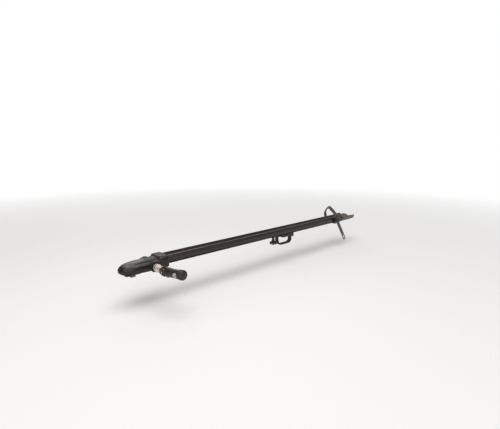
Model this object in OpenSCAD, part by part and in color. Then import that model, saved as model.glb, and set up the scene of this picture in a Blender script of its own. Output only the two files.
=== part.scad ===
// Roof carrier for one bicycle, held by its front fork.
// The front wheel is left off. The fork ends drop on the stub axles of the head and a cam skewer
// clamps them. The rear wheel stands in the channel and a ladder strap holds its rim.
// Origin: the middle of the skewer axis. +X points back along the channel, +Z up,
// and -Y is the side with the cam lever.

/* [Channel] */
// Overall width of the wheel channel
tray_w = 59; // [54:1:66]
// Height of the extrusion, from its sole to its ridges
tray_h = 29.5; // [28:0.5:32]
// Height of the ridges above the skewer axis
tray_top = 24; // [23:0.5:24.5]
// Distance over both ridges, between their outer edges
ridge_apart = 41; // [36:1:44]
// Where the channel starts inside the head
tray_front = 22; // [20:1:26]
// Where the extrusion ends inside the tail shoe
tray_back = 1105; // [1090:1:1200]
// Depth of the wheel channel below the ridges
channel_deep = 13; // [11:0.5:14]
// Thickness of the walls of the extrusion
tray_wall = 2.4; // [2:0.1:2.8]
// Thickness of the floor and the sole
tray_floor = 2.5; // [2:0.1:3]
// Width of the flat on each ridge
ridge_w = 3.4; // [3:0.2:4]
// Width of the slot in the sole
slot_w = 9; // [8.4:0.2:10]
// Width inside the slot, above its flanges
slot_room = 20; // [18:0.5:21]
// Length of the tail shoe behind the extrusion
shoe_reach = 88; // [60:1:110]

/* [Head] */
// Foremost point of the nose, ahead of the skewer axis
nose_reach = 111; // [108:1:130]
// Rear end of the head, behind the skewer axis
head_reach = 54; // [48:1:70]
// Half of the greatest width of the head
head_half = 38; // [37:0.5:42]
// Height of the crown above the skewer axis
head_top = 28; // [26.5:0.5:34]
// Depth of the sole below the skewer axis
head_sole = 15; // [13.5:0.5:17]
// Where the nose cover meets the ribbed rear body, ahead of the skewer axis
seam_at = 50; // [46:1:56]
// Wall of the nose cover
cover_wall = 3; // [2.4:0.2:4]

/* [Skewer] */
// Distance between the seats for the fork ends
fork_w = 100; // [96:1:110]
// Diameter of the cross tube
axle_d = 25; // [22:0.5:27]
// Diameter of the stub axles
stub_d = 9; // [8.6:0.1:9.4]
// Diameter of the skewer rod
rod_d = 5; // [4.8:0.1:5.2]
// Room for a fork end, between seat and clamping face
drop_room = 7.5; // [6.5:0.5:9]
// Diameter of the skewer nut
nut_d = 19; // [17:0.5:22]
// Diameter of the polished cam collar
collar_d = 27; // [25:0.5:29]
// Length of the cam collar
collar_l = 32; // [28:0.5:36]

/* [Lever] */
// Length from the cam pin to the tip of the lever
lever_l = 90; // [84:1:98]
// Radius of the grip at its thick end
grip_r = 16.5; // [15.5:0.5:17.5]
// Radius of the waist behind the lock
waist_r = 14.5; // [13:0.5:15.5]
// Angle that the grip leans backwards
lever_lean = 13; // [6:1:15]
// Angle that the grip stands above the cam pin's level
lever_lift = 3; // [1:0.5:5]
// Outer diameter of the lock bezel
bezel_d = 16; // [14:0.5:17]

/* [Bars] */
// Distance from the skewer axis forward to the middle of the front bar
front_bar = 70; // [66:1:74]
// Distance from the skewer axis back to the middle of the rear bar
rear_bar = 665; // [560:1:760]
// Width of the bars that the carrier is made for
bar_w = 80; // [70:1:84]
// Thickness of those bars
bar_h = 32; // [26:1:36]
// Thickness of the rubber pads on the bars
pad_t = 3; // [2:0.5:4]
// Diameter of the wing knob
knob_d = 32; // [28:1:36]

/* [Wheel strap] */
// Middle of the strap holder, behind the skewer axis
strap_at = 1032; // [960:1:1060]
// Width of the ladder strap
strap_w = 19; // [17:0.5:21]
// Thickness of the ladder strap
strap_t = 2.2; // [2:0.1:3]
// Height of the strap over the tyre, above the skewer axis
strap_top = 74; // [68:1:90]
// Half of the room between the two legs of the strap
loop_half = 31; // [30:0.5:34]
// Angle that the strap leans forward
strap_lean = 23; // [15:1:28]
// Length of the free strap end
tail_l = 127; // [90:1:140]
// Angle of the free end, back from straight down
tail_lean = 34; // [25:1:38]

/* [Hidden] */
$fn = 48;
// overrun of every cut, running fit of shafts, gap between pieces, shrink of skins that lie together
cut = 1;
fit = 0.05;
gap = 0.3;
seat = 0.1;

tray_sole = tray_top - tray_h;
floor_top = tray_top - channel_deep;
half_w = tray_w / 2;

// A cylinder along one axis, centred
module rod_x(r, l) rotate([0, 90, 0]) cylinder(r = r, h = l, center = true);
module rod_y(r, l) rotate([90, 0, 0]) cylinder(r = r, h = l, center = true);
module rod_z(r, l) cylinder(r = r, h = l, center = true);
// A box between two corners
module block(low, high) translate(low) cube(high - low);
// An outline in Y and Z, drawn out along X
module along_x(x_low, x_high) translate([x_low, 0, 0]) rotate([90, 0, 90])
    linear_extrude(x_high - x_low) children();
// An outline in X and Z, drawn out along Y, centred
module along_y(w) rotate([90, 0, 0]) linear_extrude(w, center = true) children();
// A copy on each side of the middle plane
module both_sides() {
    children();
    mirror([0, 1, 0]) children();
}

// Wheel channel: an extrusion with slanting flanks and a slot for sliding nuts in its sole
groove_deep = 0.7;
groove_h = 1.8;
groove_shares = [0.38, 0.56];
belt_top_share = 0.64;
belt_low_share = 0.38;
foot_share = 0.82;
belt_top = tray_sole + belt_top_share * tray_h;
belt_low = tray_sole + belt_low_share * tray_h;
floor_half = 10;

// Outer form without the wheel channel: ridge, belt and foot on each side
function outer_half(grow) = let (half_ridge = ridge_apart / 2) [
    [half_ridge + grow / 2, tray_top + grow], [half_w + grow, belt_top + grow / 2],
    [half_w + grow, belt_low - grow / 2], [half_w * foot_share + grow / 2, tray_sole - grow]];
function mirrored(list) = [for (i = [len(list) - 1:-1:0]) [-list[i][0], list[i][1]]];
module outer_form(grow) polygon(concat(outer_half(grow), mirrored(outer_half(grow))));
// Wheel channel between the ridges, with its walls slanting to a narrow floor
function groove_half(grow) = [[ridge_apart / 2 - ridge_w + grow, tray_top + 2 * cut + grow],
    [ridge_apart / 2 - ridge_w + grow, tray_top - ridge_w / 2], [floor_half + grow, floor_top - grow]];
module wheel_groove(grow) polygon(concat(groove_half(grow), mirrored(groove_half(grow))));
module hollow_side() {
    web = slot_room / 2 + tray_wall;
    slant = floor_half + tray_floor;
    ridge_in = ridge_apart / 2 - tray_wall / 2;
    polygon([[web, tray_sole + tray_floor], [half_w * foot_share - tray_wall, tray_sole + tray_floor],
             [half_w - tray_wall, belt_low], [half_w - tray_wall, belt_top - tray_wall / 2],
             [ridge_in + tray_wall / 4, tray_top - 2 * tray_wall], [ridge_in - tray_wall / 4,
             tray_top - 2 * tray_wall], [slant, floor_top - tray_floor], [web, floor_top - tray_floor]]);
}
module channel_outline() difference() {
    outer_form(0);
    wheel_groove(0);
    translate([-slot_w / 2, tray_sole - cut]) square([slot_w, tray_floor + 2 * cut]);
    translate([-slot_room / 2, tray_sole + tray_floor])
        square([slot_room, floor_top - tray_sole - 2 * tray_floor]);
    hollow_side();
    mirror([1, 0]) hollow_side();
    for (side = [-1, 1], share = groove_shares) translate([side * half_w, tray_sole + share * tray_h])
        square([2 * groove_deep, groove_h], center = true);
}
module tray_channel() color([0.2, 0.18, 0.17])
    difference() {
        along_x(tray_front, tray_back) channel_outline();
        for (place = tray_bolt_places)
            translate([place, 0, floor_top]) rod_z(tray_bolt_d / 2 + fit, channel_deep);
        for (side = [-1, 1])
            translate([tray_back - rivet_in, side * half_w, rivet_z]) rod_y(rivet_d / 2 + fit, rivet_l * 2);
    }

// Tail shoe: a moulded end that the extrusion is pushed into, and that tapers towards the back
shoe_wall = 1.8;
shoe_grip = 20;
shoe_gap = 0.2;
// behind the channel: ridges run on, slope down to a flat tail, and the tail's end is eased
ridges_past = 24;
ridge_slope = 12;
tail_ease = 4;
tail_rise = 1.5;
shoe_skin = 3;
rivet_d = 4;
rivet_l = 6;
rivet_head = 1.2;
rivet_in = 10;
rivet_z = (belt_top + belt_low) / 2;
rivet_y = half_w + shoe_gap + shoe_wall;
shoe_end = tray_back + shoe_reach;
tail_above = 1.2;
tail_top = belt_top + tail_above;

module tray_end_cap() color([0.33, 0.29, 0.28]) {
    grow = shoe_gap + shoe_wall;
    difference() {
        intersection() {
            along_x(tray_back - shoe_grip, shoe_end) outer_form(grow);
            // side view: sloping crown and sole
            along_y(2 * tray_w) polygon([[tray_back - shoe_grip, tray_top + grow],
                [tray_back + ridges_past, tray_top + grow],
                [tray_back + ridges_past + ridge_slope, tail_top], [shoe_end - tail_ease, tail_top],
                [shoe_end, tail_top - tail_ease], [shoe_end, tray_sole + tail_rise],
                [tray_back + ridges_past, tray_sole - grow], [tray_back - shoe_grip, tray_sole - grow]]);
        }
        along_x(tray_back - shoe_grip - cut, tray_back + seat) outer_form(shoe_gap);
        along_x(tray_back - shoe_grip - cut, tray_back + seat) wheel_groove(0);
        along_x(tray_back - shoe_grip - cut, shoe_end - shoe_skin) translate([0, shoe_wall])
            wheel_groove(0);
        // hollow below, with a closed end
        intersection() {
            along_x(tray_back, shoe_end - shoe_skin) outer_form(grow - shoe_skin);
            block([tray_back, -tray_w, tray_sole - tray_h], [shoe_end, tray_w, floor_top - shoe_skin]);
        }
        for (side = [-1, 1]) translate([tray_back - rivet_in, side * rivet_y, rivet_z])
            rod_y(rivet_d / 2 + fit, rivet_l);
    }
}
module end_cap_rivets() color("dimgray") for (side = [-1, 1])
    translate([tray_back - rivet_in, side * rivet_y, rivet_z]) {
        translate([0, side * rivet_head / 2, 0]) rod_y(rivet_d, rivet_head);
        translate([0, -side * (rivet_l / 2 - rivet_head / 2), 0]) rod_y(rivet_d / 2, rivet_l);
    }

// Head: one smooth skin, given as stations from the tip back.
// Each row holds shares: place along nose or rear body, half width, top, sole, roundness above.
nose_shares = [[1, 0.08, 0.12, 0.22, 1], [0.98, 0.26, 0.27, 0.52, 1], [0.94, 0.42, 0.43, 0.74, 1],
               [0.86, 0.62, 0.6, 0.92, 0.96], [0.74, 0.79, 0.7, 1, 0.92],
               [0.58, 0.91, 0.75, 1, 0.9], [0.46, 0.96, 0.77, 1, 0.88]];
rear_shares = [[-0.84, 0.98, 0.78, 1, 0.87], [-0.4, 1, 0.79, 1, 0.85], [0.1, 1, 0.8, 1, 0.84],
               [0.3, 1, 0.83, 1, 0.8], [0.44, 1, 0.98, 1, 0.45], [0.55, 1, 1, 1, 0.4],
               [0.88, 1, 0.99, 1, 0.4], [1, 0.98, 0.95, 0.95, 0.4]];
ring_count = 40;
// How square the rings are below: 1 gives an ellipse, 0 a box
round_share = 0.4;

function station(s, reach, inset) = [s[0] * reach, s[1] * head_half - inset,
    s[2] * head_top - inset, -s[3] * head_sole + inset, s[4]];
function nose_stations(inset) = [for (s = nose_shares) station(s, -nose_reach + inset, inset)];
function rear_stations(inset) = [for (s = rear_shares)
    station(s, s[0] < 0 ? seam_at : head_reach, inset)];
function side_of(v) = v < 0 ? -1 : 1;
function ring(s) = [for (i = [0:ring_count - 1]) let (a = 360 * i / ring_count,
    c = cos(a), n = sin(a), p = n > 0 ? s[4] : round_share,
    mid = s[3] + (s[2] - s[3]) * belt_share, half = n > 0 ? s[2] - mid : mid - s[3])
    [s[0], s[1] * side_of(c) * pow(abs(c), p), mid + half * side_of(n) * pow(abs(n), p)]];
// Height at which the rings are widest, from sole to crown
belt_share = 0.36;
// An inset station never closes up
function blunt(s) = let (mid = (s[2] + s[3]) / 2, half = max(s[2] - s[3], cover_wall) / 2)
    [s[0], max(s[1], cover_wall / 2), mid + half, mid - half, s[4]];

module skin(stations) {
    count = len(stations);
    points = [for (s = stations) each ring(blunt(s))];
    sides = [for (k = [0:count - 2], i = [0:ring_count - 1]) let (j = (i + 1) % ring_count)
        each [[k * ring_count + i, (k + 1) * ring_count + i, (k + 1) * ring_count + j],
              [k * ring_count + i, (k + 1) * ring_count + j, k * ring_count + j]]];
    front = [[for (i = [0:ring_count - 1]) i]];
    back = [[for (i = [0:ring_count - 1]) count * ring_count - 1 - i]];
    polyhedron(points, concat(sides, front, back));
}
module head_skin(inset) skin(concat(nose_stations(inset), rear_stations(inset)));

// Sole plate of the head, that runs forward inside the nose cover
tongue_t = 6;
tongue_past = 21;
tongue_end = front_bar + tongue_past;
rib_out = 1.2;
rib_h = 2.4;
rib_shares = [-0.08, 0.12, 0.32];
rib_front = 44;
rib_back = 12;
boss_wall = 6;
boss_r = axle_d / 2 + boss_wall;
boss_out = 4;
brace_t = 5;
hollow_half = head_half - 6 * cover_wall;
hollow_share = 0.4;
hollow_top = head_top * hollow_share;

module head_body() color([0.1, 0.1, 0.1])
    difference() {
        union() {
            intersection() {
                head_skin(0);
                block([-seam_at + gap, -head_half * 2, -head_sole * 2],
                      [head_reach, head_half * 2, head_top * 2]);
            }
            intersection() {
                head_skin(cover_wall + seat);
                block([-tongue_end, -head_half, -head_sole], [0, head_half, -head_sole + tongue_t]);
            }
            intersection() {
                head_skin(0);
                sole_plate(seat);
            }
            // ribs along both flanks, from the seam to the axle boss
            intersection() {
                head_skin(-rib_out);
                for (share = rib_shares)
                    block([-rib_front, -head_half * 2, head_top * share],
                          [-rib_back, head_half * 2, head_top * share + rib_h]);
            }
            // bosses round the cross tube
            rod_y(boss_r, 2 * (head_half + boss_out));
        }
        rod_y(axle_d / 2 + fit, fork_w);
        // socket for the channel
        along_x(tray_front - seat, head_reach + cut) outer_form(seat);
        // hollow ahead of the cross tube
        block([-seam_at - cut, -hollow_half, -head_sole + tongue_t],
              [-boss_r - brace_t / 2, hollow_half, hollow_top]);
        // rebate for the leaf panel
        leaf_prism(seat, -insert_sink);
        for (side = [-1, 1]) translate([-front_bar, side * tee_apart / 2, -head_sole])
            rod_z(tee_d / 2 + seat, 3 * tongue_t);
        for (place = tray_bolt_places) translate([place, 0, head_top])
            rod_z(tray_bolt_d / 2 + fit, 2 * head_top);
        for (place = tray_bolt_places) translate([place, 0, head_top])
            rod_z(bolt_head_r + gap, 2 * bolt_sink);
        cover_screw_holes();
    }

// Nose cover: glossy shell over the front of the sole plate
module nose_cover() color([0.08, 0.08, 0.08])
    difference() {
        intersection() {
            head_skin(0);
            block([-nose_reach - cut, -head_half, -head_sole], [-seam_at, head_half, head_top]);
        }
        intersection() {
            head_skin(cover_wall);
            block([-nose_reach, -head_half, -head_sole], [0, head_half, head_top]);
        }
        intersection() {
            head_skin(cover_wall);
            translate([0, 0, -2 * cover_wall]) block([-tongue_end - seat, -head_half, -head_sole],
                [0, head_half, -head_sole + tongue_t]);
        }
        sole_plate(0);
        leaf_prism(seat, -insert_sink);
        translate([-nose_reach, 0, nose_rivet_z]) rod_x(nose_rivet_r + fit, 3 * cover_wall);
        cover_screw_holes();
    }
// The plate shows from below, so the cover is open there
module sole_plate(shrink) block([-sole_end + shrink, -head_half * sole_share + shrink, -head_sole - cut],
    [-seam_at + cut, head_half * sole_share - shrink, -head_sole + tongue_t - shrink]);
sole_past = 18;
sole_end = front_bar + sole_past;
sole_share = 0.68;

// Leaf panel on the crown, half let into the cover
insert_sink = 1.2;
insert_raise = 0.4;
leaf_short = 9;
leaf_front = nose_reach - leaf_short;
leaf_back = 16;
leaf_half = 18;

// A pointed oval seen from above: two arcs that meet at both ends
module leaf_outline(grow) {
    long = (leaf_front - leaf_back) / 2;
    r = (long * long + leaf_half * leaf_half) / (2 * leaf_half);
    translate([-(leaf_front + leaf_back) / 2, 0]) intersection() {
        translate([0, r - leaf_half]) circle(r = r + grow, $fn = 96);
        translate([0, leaf_half - r]) circle(r = r + grow, $fn = 96);
    }
}
module leaf_prism(grow, inset)
    difference() {
        linear_extrude(head_top * 2) leaf_outline(grow);
        head_skin(-inset);
    }
module nose_insert() color([0.36, 0.31, 0.27])
    intersection() {
        head_skin(-insert_raise);
        difference() {
            linear_extrude(head_top * 2) leaf_outline(0);
            head_skin(insert_sink - seat);
        }
    }

// Rivet at the very tip of the nose
nose_rivet_r = 2.4;
rivet_z_share = -0.03;
nose_rivet_z = head_top * rivet_z_share;
module nose_rivet() color("silver") translate([-nose_reach, 0, nose_rivet_z]) {
    translate([cover_wall / 2, 0, 0]) rod_x(nose_rivet_r, 2 * cover_wall);
    translate([-cover_wall / 2, 0, 0]) rod_x(nose_rivet_r + seat, cover_wall / 3);
}

// Four screws that hold the cover down on the sole plate, from below
screw_d = 4;
screw_l = 9;
screw_head = 2.4;
screw_in = 13;
module cover_screw_places()
    for (x = [-front_bar - screw_in, -front_bar + screw_in], side = [-1, 1])
        translate([x, side * head_half * screw_y_share, -head_sole]) children();
screw_y_share = 0.3;
module cover_screw_holes() cover_screw_places() {
    cylinder(r = screw_d / 2 + fit, h = 3 * screw_l, center = true);
    cylinder(r = screw_d + seat, h = 2 * screw_head + 2 * seat, center = true);
}
module cover_screws() color("dimgray") cover_screw_places() {
    translate([0, 0, seat]) cylinder(r = screw_d - seat, h = screw_head);
    translate([0, 0, seat]) cylinder(r = screw_d / 2, h = screw_l);
}

// Two bolts through the crown that pin the channel in its socket
tray_bolt_d = 6;
tray_bolt_in = [10, 24];
tray_bolt_places = [for (d = tray_bolt_in) tray_front + d];
bolt_head_r = 5;
bolt_sink = 3.4;
module tray_bolts() color("dimgray") for (place = tray_bolt_places) translate([place, 0, 0]) {
    difference() {
        block([-bolt_head_r, -bolt_head_r, head_top - bolt_sink],
              [bolt_head_r, bolt_head_r, head_top - gap]);
        difference() {
            translate([0, 0, head_top]) rod_z(bolt_head_r * 2, head_top);
            translate([0, 0, head_top]) rod_z(bolt_head_r, 2 * head_top);
        }
        translate([0, 0, head_top]) cylinder(r = tray_bolt_d / 2, h = bolt_sink, center = true, $fn = 6);
    }
    translate([0, 0, floor_top - tray_floor]) cylinder(r = tray_bolt_d / 2,
        h = head_top - bolt_sink - floor_top + tray_floor + seat);
}

// Cross tube, and the stub axles pressed in its ends, that carry the fork
stub_flange = 5;
stub_l = 5;
module axle_tube() color([0.75, 0.75, 0.76])
    difference() {
        rod_y(axle_d / 2, fork_w - 2 * stub_flange);
        rod_y(stub_d / 2 + cover_wall, fork_w);
    }
module stub_axles() color("silver") both_sides() difference() {
    union() {
        translate([0, fork_w / 2 - stub_flange / 2, 0]) rod_y(axle_d / 2, stub_flange);
        translate([0, fork_w / 2 + stub_l / 2, 0]) rod_y(stub_d / 2, stub_l);
        translate([0, fork_w / 2 - stub_flange * 2, 0]) rod_y(stub_d / 2 + cover_wall - fit, stub_flange * 2);
    }
    translate([0, fork_w / 2, 0]) rod_y(rod_d / 2 + fit, fork_w);
}

// Rubber pad under the sole, and the two bolts whose heads slide in the slot of the front bar
pad_long = 50;
pad_half = 24;
tee_apart = 32;
tee_d = 8;
tee_neck = 3;
tee_head = [18, 13, 3];
pad_bevel = 3;
nut_t = 6;
module front_pad() color([0.05, 0.05, 0.05])
    difference() {
        translate([-front_bar, 0, -head_sole - pad_t / 2]) difference() {
            cube([pad_long, 2 * pad_half, pad_t], center = true);
            for (x = [-1, 1], y = [-1, 1]) translate([x * pad_long / 2, y * pad_half, 0])
                rotate([0, 0, 45]) cube([pad_bevel * 2, pad_bevel * 2, pad_t * 2], center = true);
        }
        for (side = [-1, 1]) translate([-front_bar, side * tee_apart / 2, -head_sole])
            rod_z(tee_d / 2 + seat, 3 * pad_t);
        cover_screw_places() cylinder(r = screw_d + seat, h = 4 * pad_t, center = true);
    }
module front_tee_bolts() color("gray") for (side = [-1, 1])
    translate([-front_bar, side * tee_apart / 2, 0]) {
        low = -head_sole - pad_t - tee_neck;
        translate([-tee_head[0] / 2, -tee_head[1] / 2, low - tee_head[2]]) cube(tee_head);
        translate([0, 0, low]) cylinder(r = tee_d / 2, h = tee_neck + pad_t + tongue_t + nut_t + cut);
    }
module front_nuts() color("silver") for (side = [-1, 1])
    translate([-front_bar, side * tee_apart / 2, -head_sole + tongue_t])
        difference() {
            union() {
                cylinder(r = tee_d, h = cut);
                cylinder(r = tee_d * nut_share, h = nut_t, $fn = 6);
            }
            translate([0, 0, -cut]) cylinder(r = tee_d / 2 + fit, h = nut_t * 2);
        }
nut_share = 0.9;

// Skewer: a rod with an eye at the lever side, and a nut on the far side
clamp_y = fork_w / 2 + drop_room;
rim_t = 3;
cam_r = 12;
cam_gap = 0.4;
pin_y = -(clamp_y + collar_l + rim_t + cam_gap + cam_r);
eye_r = 6;
eye_w = 8;
pin_d = 6;
nut_l = 9;
rod_past = 1.5;
nut_flange = 3.6;
module skewer_rod() color("silver")
    difference() {
        union() {
            far = clamp_y + nut_l + rod_past;
            translate([0, (far + pin_y + eye_r / 2) / 2, 0]) rod_y(rod_d / 2, far - pin_y - eye_r / 2);
            translate([0, pin_y, 0]) rod_x(eye_r, eye_w);
        }
        translate([0, pin_y, 0]) rod_x(pin_d / 2 + fit, 2 * eye_w);
    }
cheek_out = 12;
module cam_pin() color("silver") translate([0, pin_y, 0]) rod_x(pin_d / 2, 2 * cheek_out + 2 * gap);
module skewer_nut() color("silver") translate([0, clamp_y + nut_l / 2, 0]) difference() {
    union() {
        translate([0, -(nut_l - nut_flange) / 2, 0]) rod_y(nut_d / 2, nut_flange);
        rotate([90, 0, 0]) cylinder(r = nut_d / 2 * nut_share, h = nut_l, center = true, $fn = 6);
    }
    rod_y(rod_d / 2 + fit, 2 * nut_l);
}
// Polished collar that presses on the fork end, with a bronze rim under the cam
collar_waist = 3;
edge = 1;
rim_proud = 0.5;
// place along the collar, and how deep the waist is there
collar_shares = [[0.06, 0], [0.3, 0], [0.5, 1], [0.7, 1], [0.9, 0], [1, 0]];
module cam_collar() color([0.86, 0.76, 0.68]) translate([0, -clamp_y, 0]) rotate([90, 0, 0])
    rotate_extrude() polygon(concat([[rod_d / 2 + fit, 0], [collar_d / 2 - edge, 0]],
        [for (s = collar_shares) [collar_d / 2 - s[1] * collar_waist, s[0] * collar_l]],
        [[rod_d / 2 + fit, collar_l]]));
module collar_rim() color([0.55, 0.38, 0.22]) translate([0, -clamp_y - collar_l - rim_t / 2, 0])
    difference() {
        rod_y(collar_d / 2 + rim_proud, rim_t);
        rod_y(rod_d / 2 + fit, 2 * rim_t);
    }

// Cam lever: two cheeks on the pin, a housing for the lock, and a waisted handle
cam_throw = 1.2;
slot_room_w = eye_w + 2 * gap;
neck_half = 11;
housing_share = 1.1;
collar_box = 17;
box_front = collar_d / 2 + rim_proud + gap;
box_back = 24;
lock_at = 59;
lock_deep = 19;
grip_from = 70;
// Turns the lever's own frame, with its length along +Z, so that it points away from the fork
module lever_frame() translate([0, pin_y, 0]) rotate([90 - lever_lift, 0, lever_lean]) children();

// Place along the lever, radius as a share of waist or grip, and 1 where it is the waist's
handle_shares = [[0.17, 1.02, 1], [0.34, 1, 1], [0.6, 1, 1], [0.72, 0.94, 0], [0.84, 1, 0], [0.93, 0.96, 0]];
end_shares = [[0.965, 0.82], [0.988, 0.62], [1, 0.36]];
module handle_profile(grow, low, high) intersection() {
    polygon(concat([[0, box_front]],
        [for (s = handle_shares) [s[1] * (s[2] > 0 ? waist_r : grip_r) + grow, s[0] * lever_l]],
        [for (s = end_shares) [s[1] * grip_r + grow, s[0] * lever_l]], [[0, lever_l]]));
    translate([0, low]) square([collar_box * 3, high - low]);
}
module lever_body() color([0.06, 0.06, 0.06])
    difference() {
        union() {
            translate([0, pin_y, cam_throw]) rod_x(cam_r, 2 * cheek_out);
            translate([0, pin_y, 0]) rotate([90, 0, 0]) translate([-cheek_out, -neck_half, 0])
                cube([2 * cheek_out, 2 * neck_half, box_front + 2 * cut]);
            lever_frame() {
                rotate_extrude() handle_profile(0, box_front, grip_from);
                rotate_extrude() intersection() {
                    handle_profile(-grip_t - seat, grip_from - cut, lever_l - 2 * grip_t);
                    square([grip_r - grip_t - seat, lever_l]);
                }
                // eight-sided housing behind the cam
                translate([0, 0, box_front]) rotate([0, 0, 360 / 16])
                    cylinder(r1 = collar_box, r2 = waist_r * housing_share, h = box_back - box_front, $fn = 8);
            }
        }
        // slot for the eye of the rod, open both ways so that the lever can swing
        block([-slot_room_w / 2, pin_y - eye_r - 4 * gap, -2 * cam_r],
              [slot_room_w / 2, pin_y + 2 * cam_r, 2 * cam_r]);
        translate([0, pin_y, 0]) rod_x(pin_d / 2 + fit, 3 * cheek_out);
        lever_frame() translate([-collar_box, 0, lock_at]) rotate([0, 90, 0])
            translate([0, 0, collar_box - waist_r - cut]) cylinder(r = lock_r + seat, h = lock_deep + cut);
        lever_frame() translate([-collar_box, 0, lock_at]) rotate([0, 90, 0])
            translate([0, 0, collar_box - waist_r - bezel_t])
                cylinder(r = bezel_d / 2 + seat, h = 2 * bezel_t);
    }
grip_t = 2;
module lever_grip() color([0.1, 0.1, 0.1]) lever_frame() difference() {
    rotate_extrude() handle_profile(0, grip_from + gap, lever_l);
    rotate_extrude() intersection() {
        handle_profile(-grip_t, 0, lever_l - 2 * grip_t + seat);
        square([grip_r - grip_t, lever_l]);
    }
}
// Lock: a steel bezel and a keyed barrel that turns a quarter
lock_r = 5.5;
bezel_t = 2;
key_slot = [1.4, 6];
module lock_place() lever_frame() translate([-waist_r, 0, lock_at]) rotate([0, 90, 0]) children();
module lock_bezel() color("silver") lock_place() difference() {
    translate([0, 0, -cut]) cylinder(r = bezel_d / 2, h = bezel_t + cut);
    cylinder(r = lock_r + seat, h = 4 * bezel_t, center = true);
}
module lock_barrel() color("gainsboro") lock_place() difference() {
    translate([0, 0, -cut / 2]) cylinder(r = lock_r, h = lock_deep - 2 * cut);
    cube([key_slot[1], key_slot[0], 2 * bezel_t + cut], center = true);
}

// Rear clamp: a saddle that slides under the channel, and a strap that closes round the bar
rear_pad_t = 2;
saddle_top = tray_sole - gap;
bar_top = -head_sole - pad_t;
saddle_low = bar_top + rear_pad_t;
saddle_t = saddle_top - saddle_low;
arm_t = 4;
arm_low = saddle_top - arm_t;
hook_drop = 4;
hook_out = 8;
knob_out = 27;
saddle_long = 62;
saddle_half = 24;
hook_x = rear_bar + bar_w / 2 + hook_out;
hook_z = bar_top - hook_drop;
knob_x = rear_bar - bar_w / 2 - knob_out;
ear_half = 16;
hinge_d = 5;
strap_thick = 2.5;
strap_half = 10;
bolt_d = 6;
strap_liner_t = 2;
leg_x = rear_bar - bar_w / 2 - gap - strap_liner_t - strap_thick;
tab_top = arm_low - gap;
washer_t = 1.6;
washer_top = tab_top - strap_thick - gap;
knob_top = washer_top - washer_t - gap;
knob_h = 13;
stem_h = 17;
lobe_r = 6;
bush_r = 4.2;
bolt_proud = 1;
nut_low = tray_sole + tray_floor + gap;
nut_thick = 5;
bolt_low = knob_top - stem_h - knob_h - bolt_proud;
module rear_saddle() color([0.09, 0.09, 0.09])
    difference() {
        union() {
            block([rear_bar - saddle_long / 2, -saddle_half, saddle_low],
                  [rear_bar + saddle_long / 2, saddle_half, saddle_top]);
            // arm to the clamp bolt in front
            block([knob_x - ear_half, -ear_half, arm_low], [rear_bar, ear_half, saddle_top]);
            // arm to the strap hinge behind
            block([rear_bar, -ear_half, saddle_low], [hook_x + hinge_d, ear_half, saddle_top]);
            translate([hook_x, 0, hook_z]) rod_y(hinge_d, 2 * ear_half);
            block([hook_x - hinge_d, -ear_half, hook_z], [hook_x + hinge_d, ear_half, saddle_top]);
        }
        // slot between the hinge ears
        block([hook_x - 3 * hinge_d, -strap_half - gap, hook_z - 3 * hinge_d],
              [hook_x + 3 * hinge_d, strap_half + gap, saddle_low]);
        translate([hook_x, 0, hook_z]) rod_y(hinge_d / 2 + fit, 4 * ear_half);
        translate([knob_x, 0, saddle_top]) rod_z(bolt_d / 2 + fit, 4 * saddle_t);
        for (side = [-1, 1]) translate([rear_bar + side * saddle_long / 4, 0, saddle_top])
            rod_z(bolt_d / 2 + fit, 4 * saddle_t);
    }
module rear_pad() color([0.05, 0.05, 0.05]) difference() {
    block([rear_bar - saddle_long / 2 + pad_bevel, -saddle_half, bar_top],
          [rear_bar + saddle_long / 2 - pad_bevel, saddle_half, saddle_low]);
    for (side = [-1, 1]) translate([rear_bar + side * saddle_long / 4, 0, bar_top])
        rod_z(bolt_d, 4 * rear_pad_t);
}
// Long nut that slides in the slot of the channel
module slide_nut() color("silver") difference() {
    union() {
        block([knob_x - ear_half, -slot_room / 2 + gap, nut_low],
              [rear_bar + saddle_long / 3, slot_room / 2 - gap, nut_low + nut_thick]);
        // neck in the slot, down to the saddle
        block([rear_bar - saddle_long / 3, -slot_w / 2 + gap, saddle_top],
              [rear_bar + saddle_long / 3, slot_w / 2 - gap, nut_low + cut]);
    }
    translate([knob_x, 0, nut_low]) rod_z(bolt_d / 2 + fit, 4 * nut_thick);
    for (side = [-1, 1]) translate([rear_bar + side * saddle_long / 4, 0, nut_low])
        rod_z(bolt_d / 2 + fit, 6 * nut_thick);
}
module saddle_bolts() color("dimgray") for (side = [-1, 1])
    translate([rear_bar + side * saddle_long / 4, 0, 0]) {
        translate([0, 0, bar_top + seat]) cylinder(r = bolt_d - seat, h = rear_pad_t - seat);
        translate([0, 0, saddle_low - seat]) cylinder(r = bolt_d / 2,
            h = nut_low + nut_thick - saddle_low);
    }
// Clamp bolt: its head lies on the slide nut and its thread hangs through saddle and strap
module clamp_bolt() color("silver") translate([knob_x, 0, 0]) {
    translate([0, 0, nut_low + nut_thick]) cylinder(r = bolt_d, h = nut_thick * nut_share, $fn = 6);
    translate([0, 0, bolt_low]) cylinder(r = bolt_d / 2, h = nut_low + nut_thick - bolt_low);
}
module strap_hinge_pin() color("silver") translate([hook_x, 0, hook_z])
    rod_y(hinge_d / 2, 2 * ear_half + 2 * gap);

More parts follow.
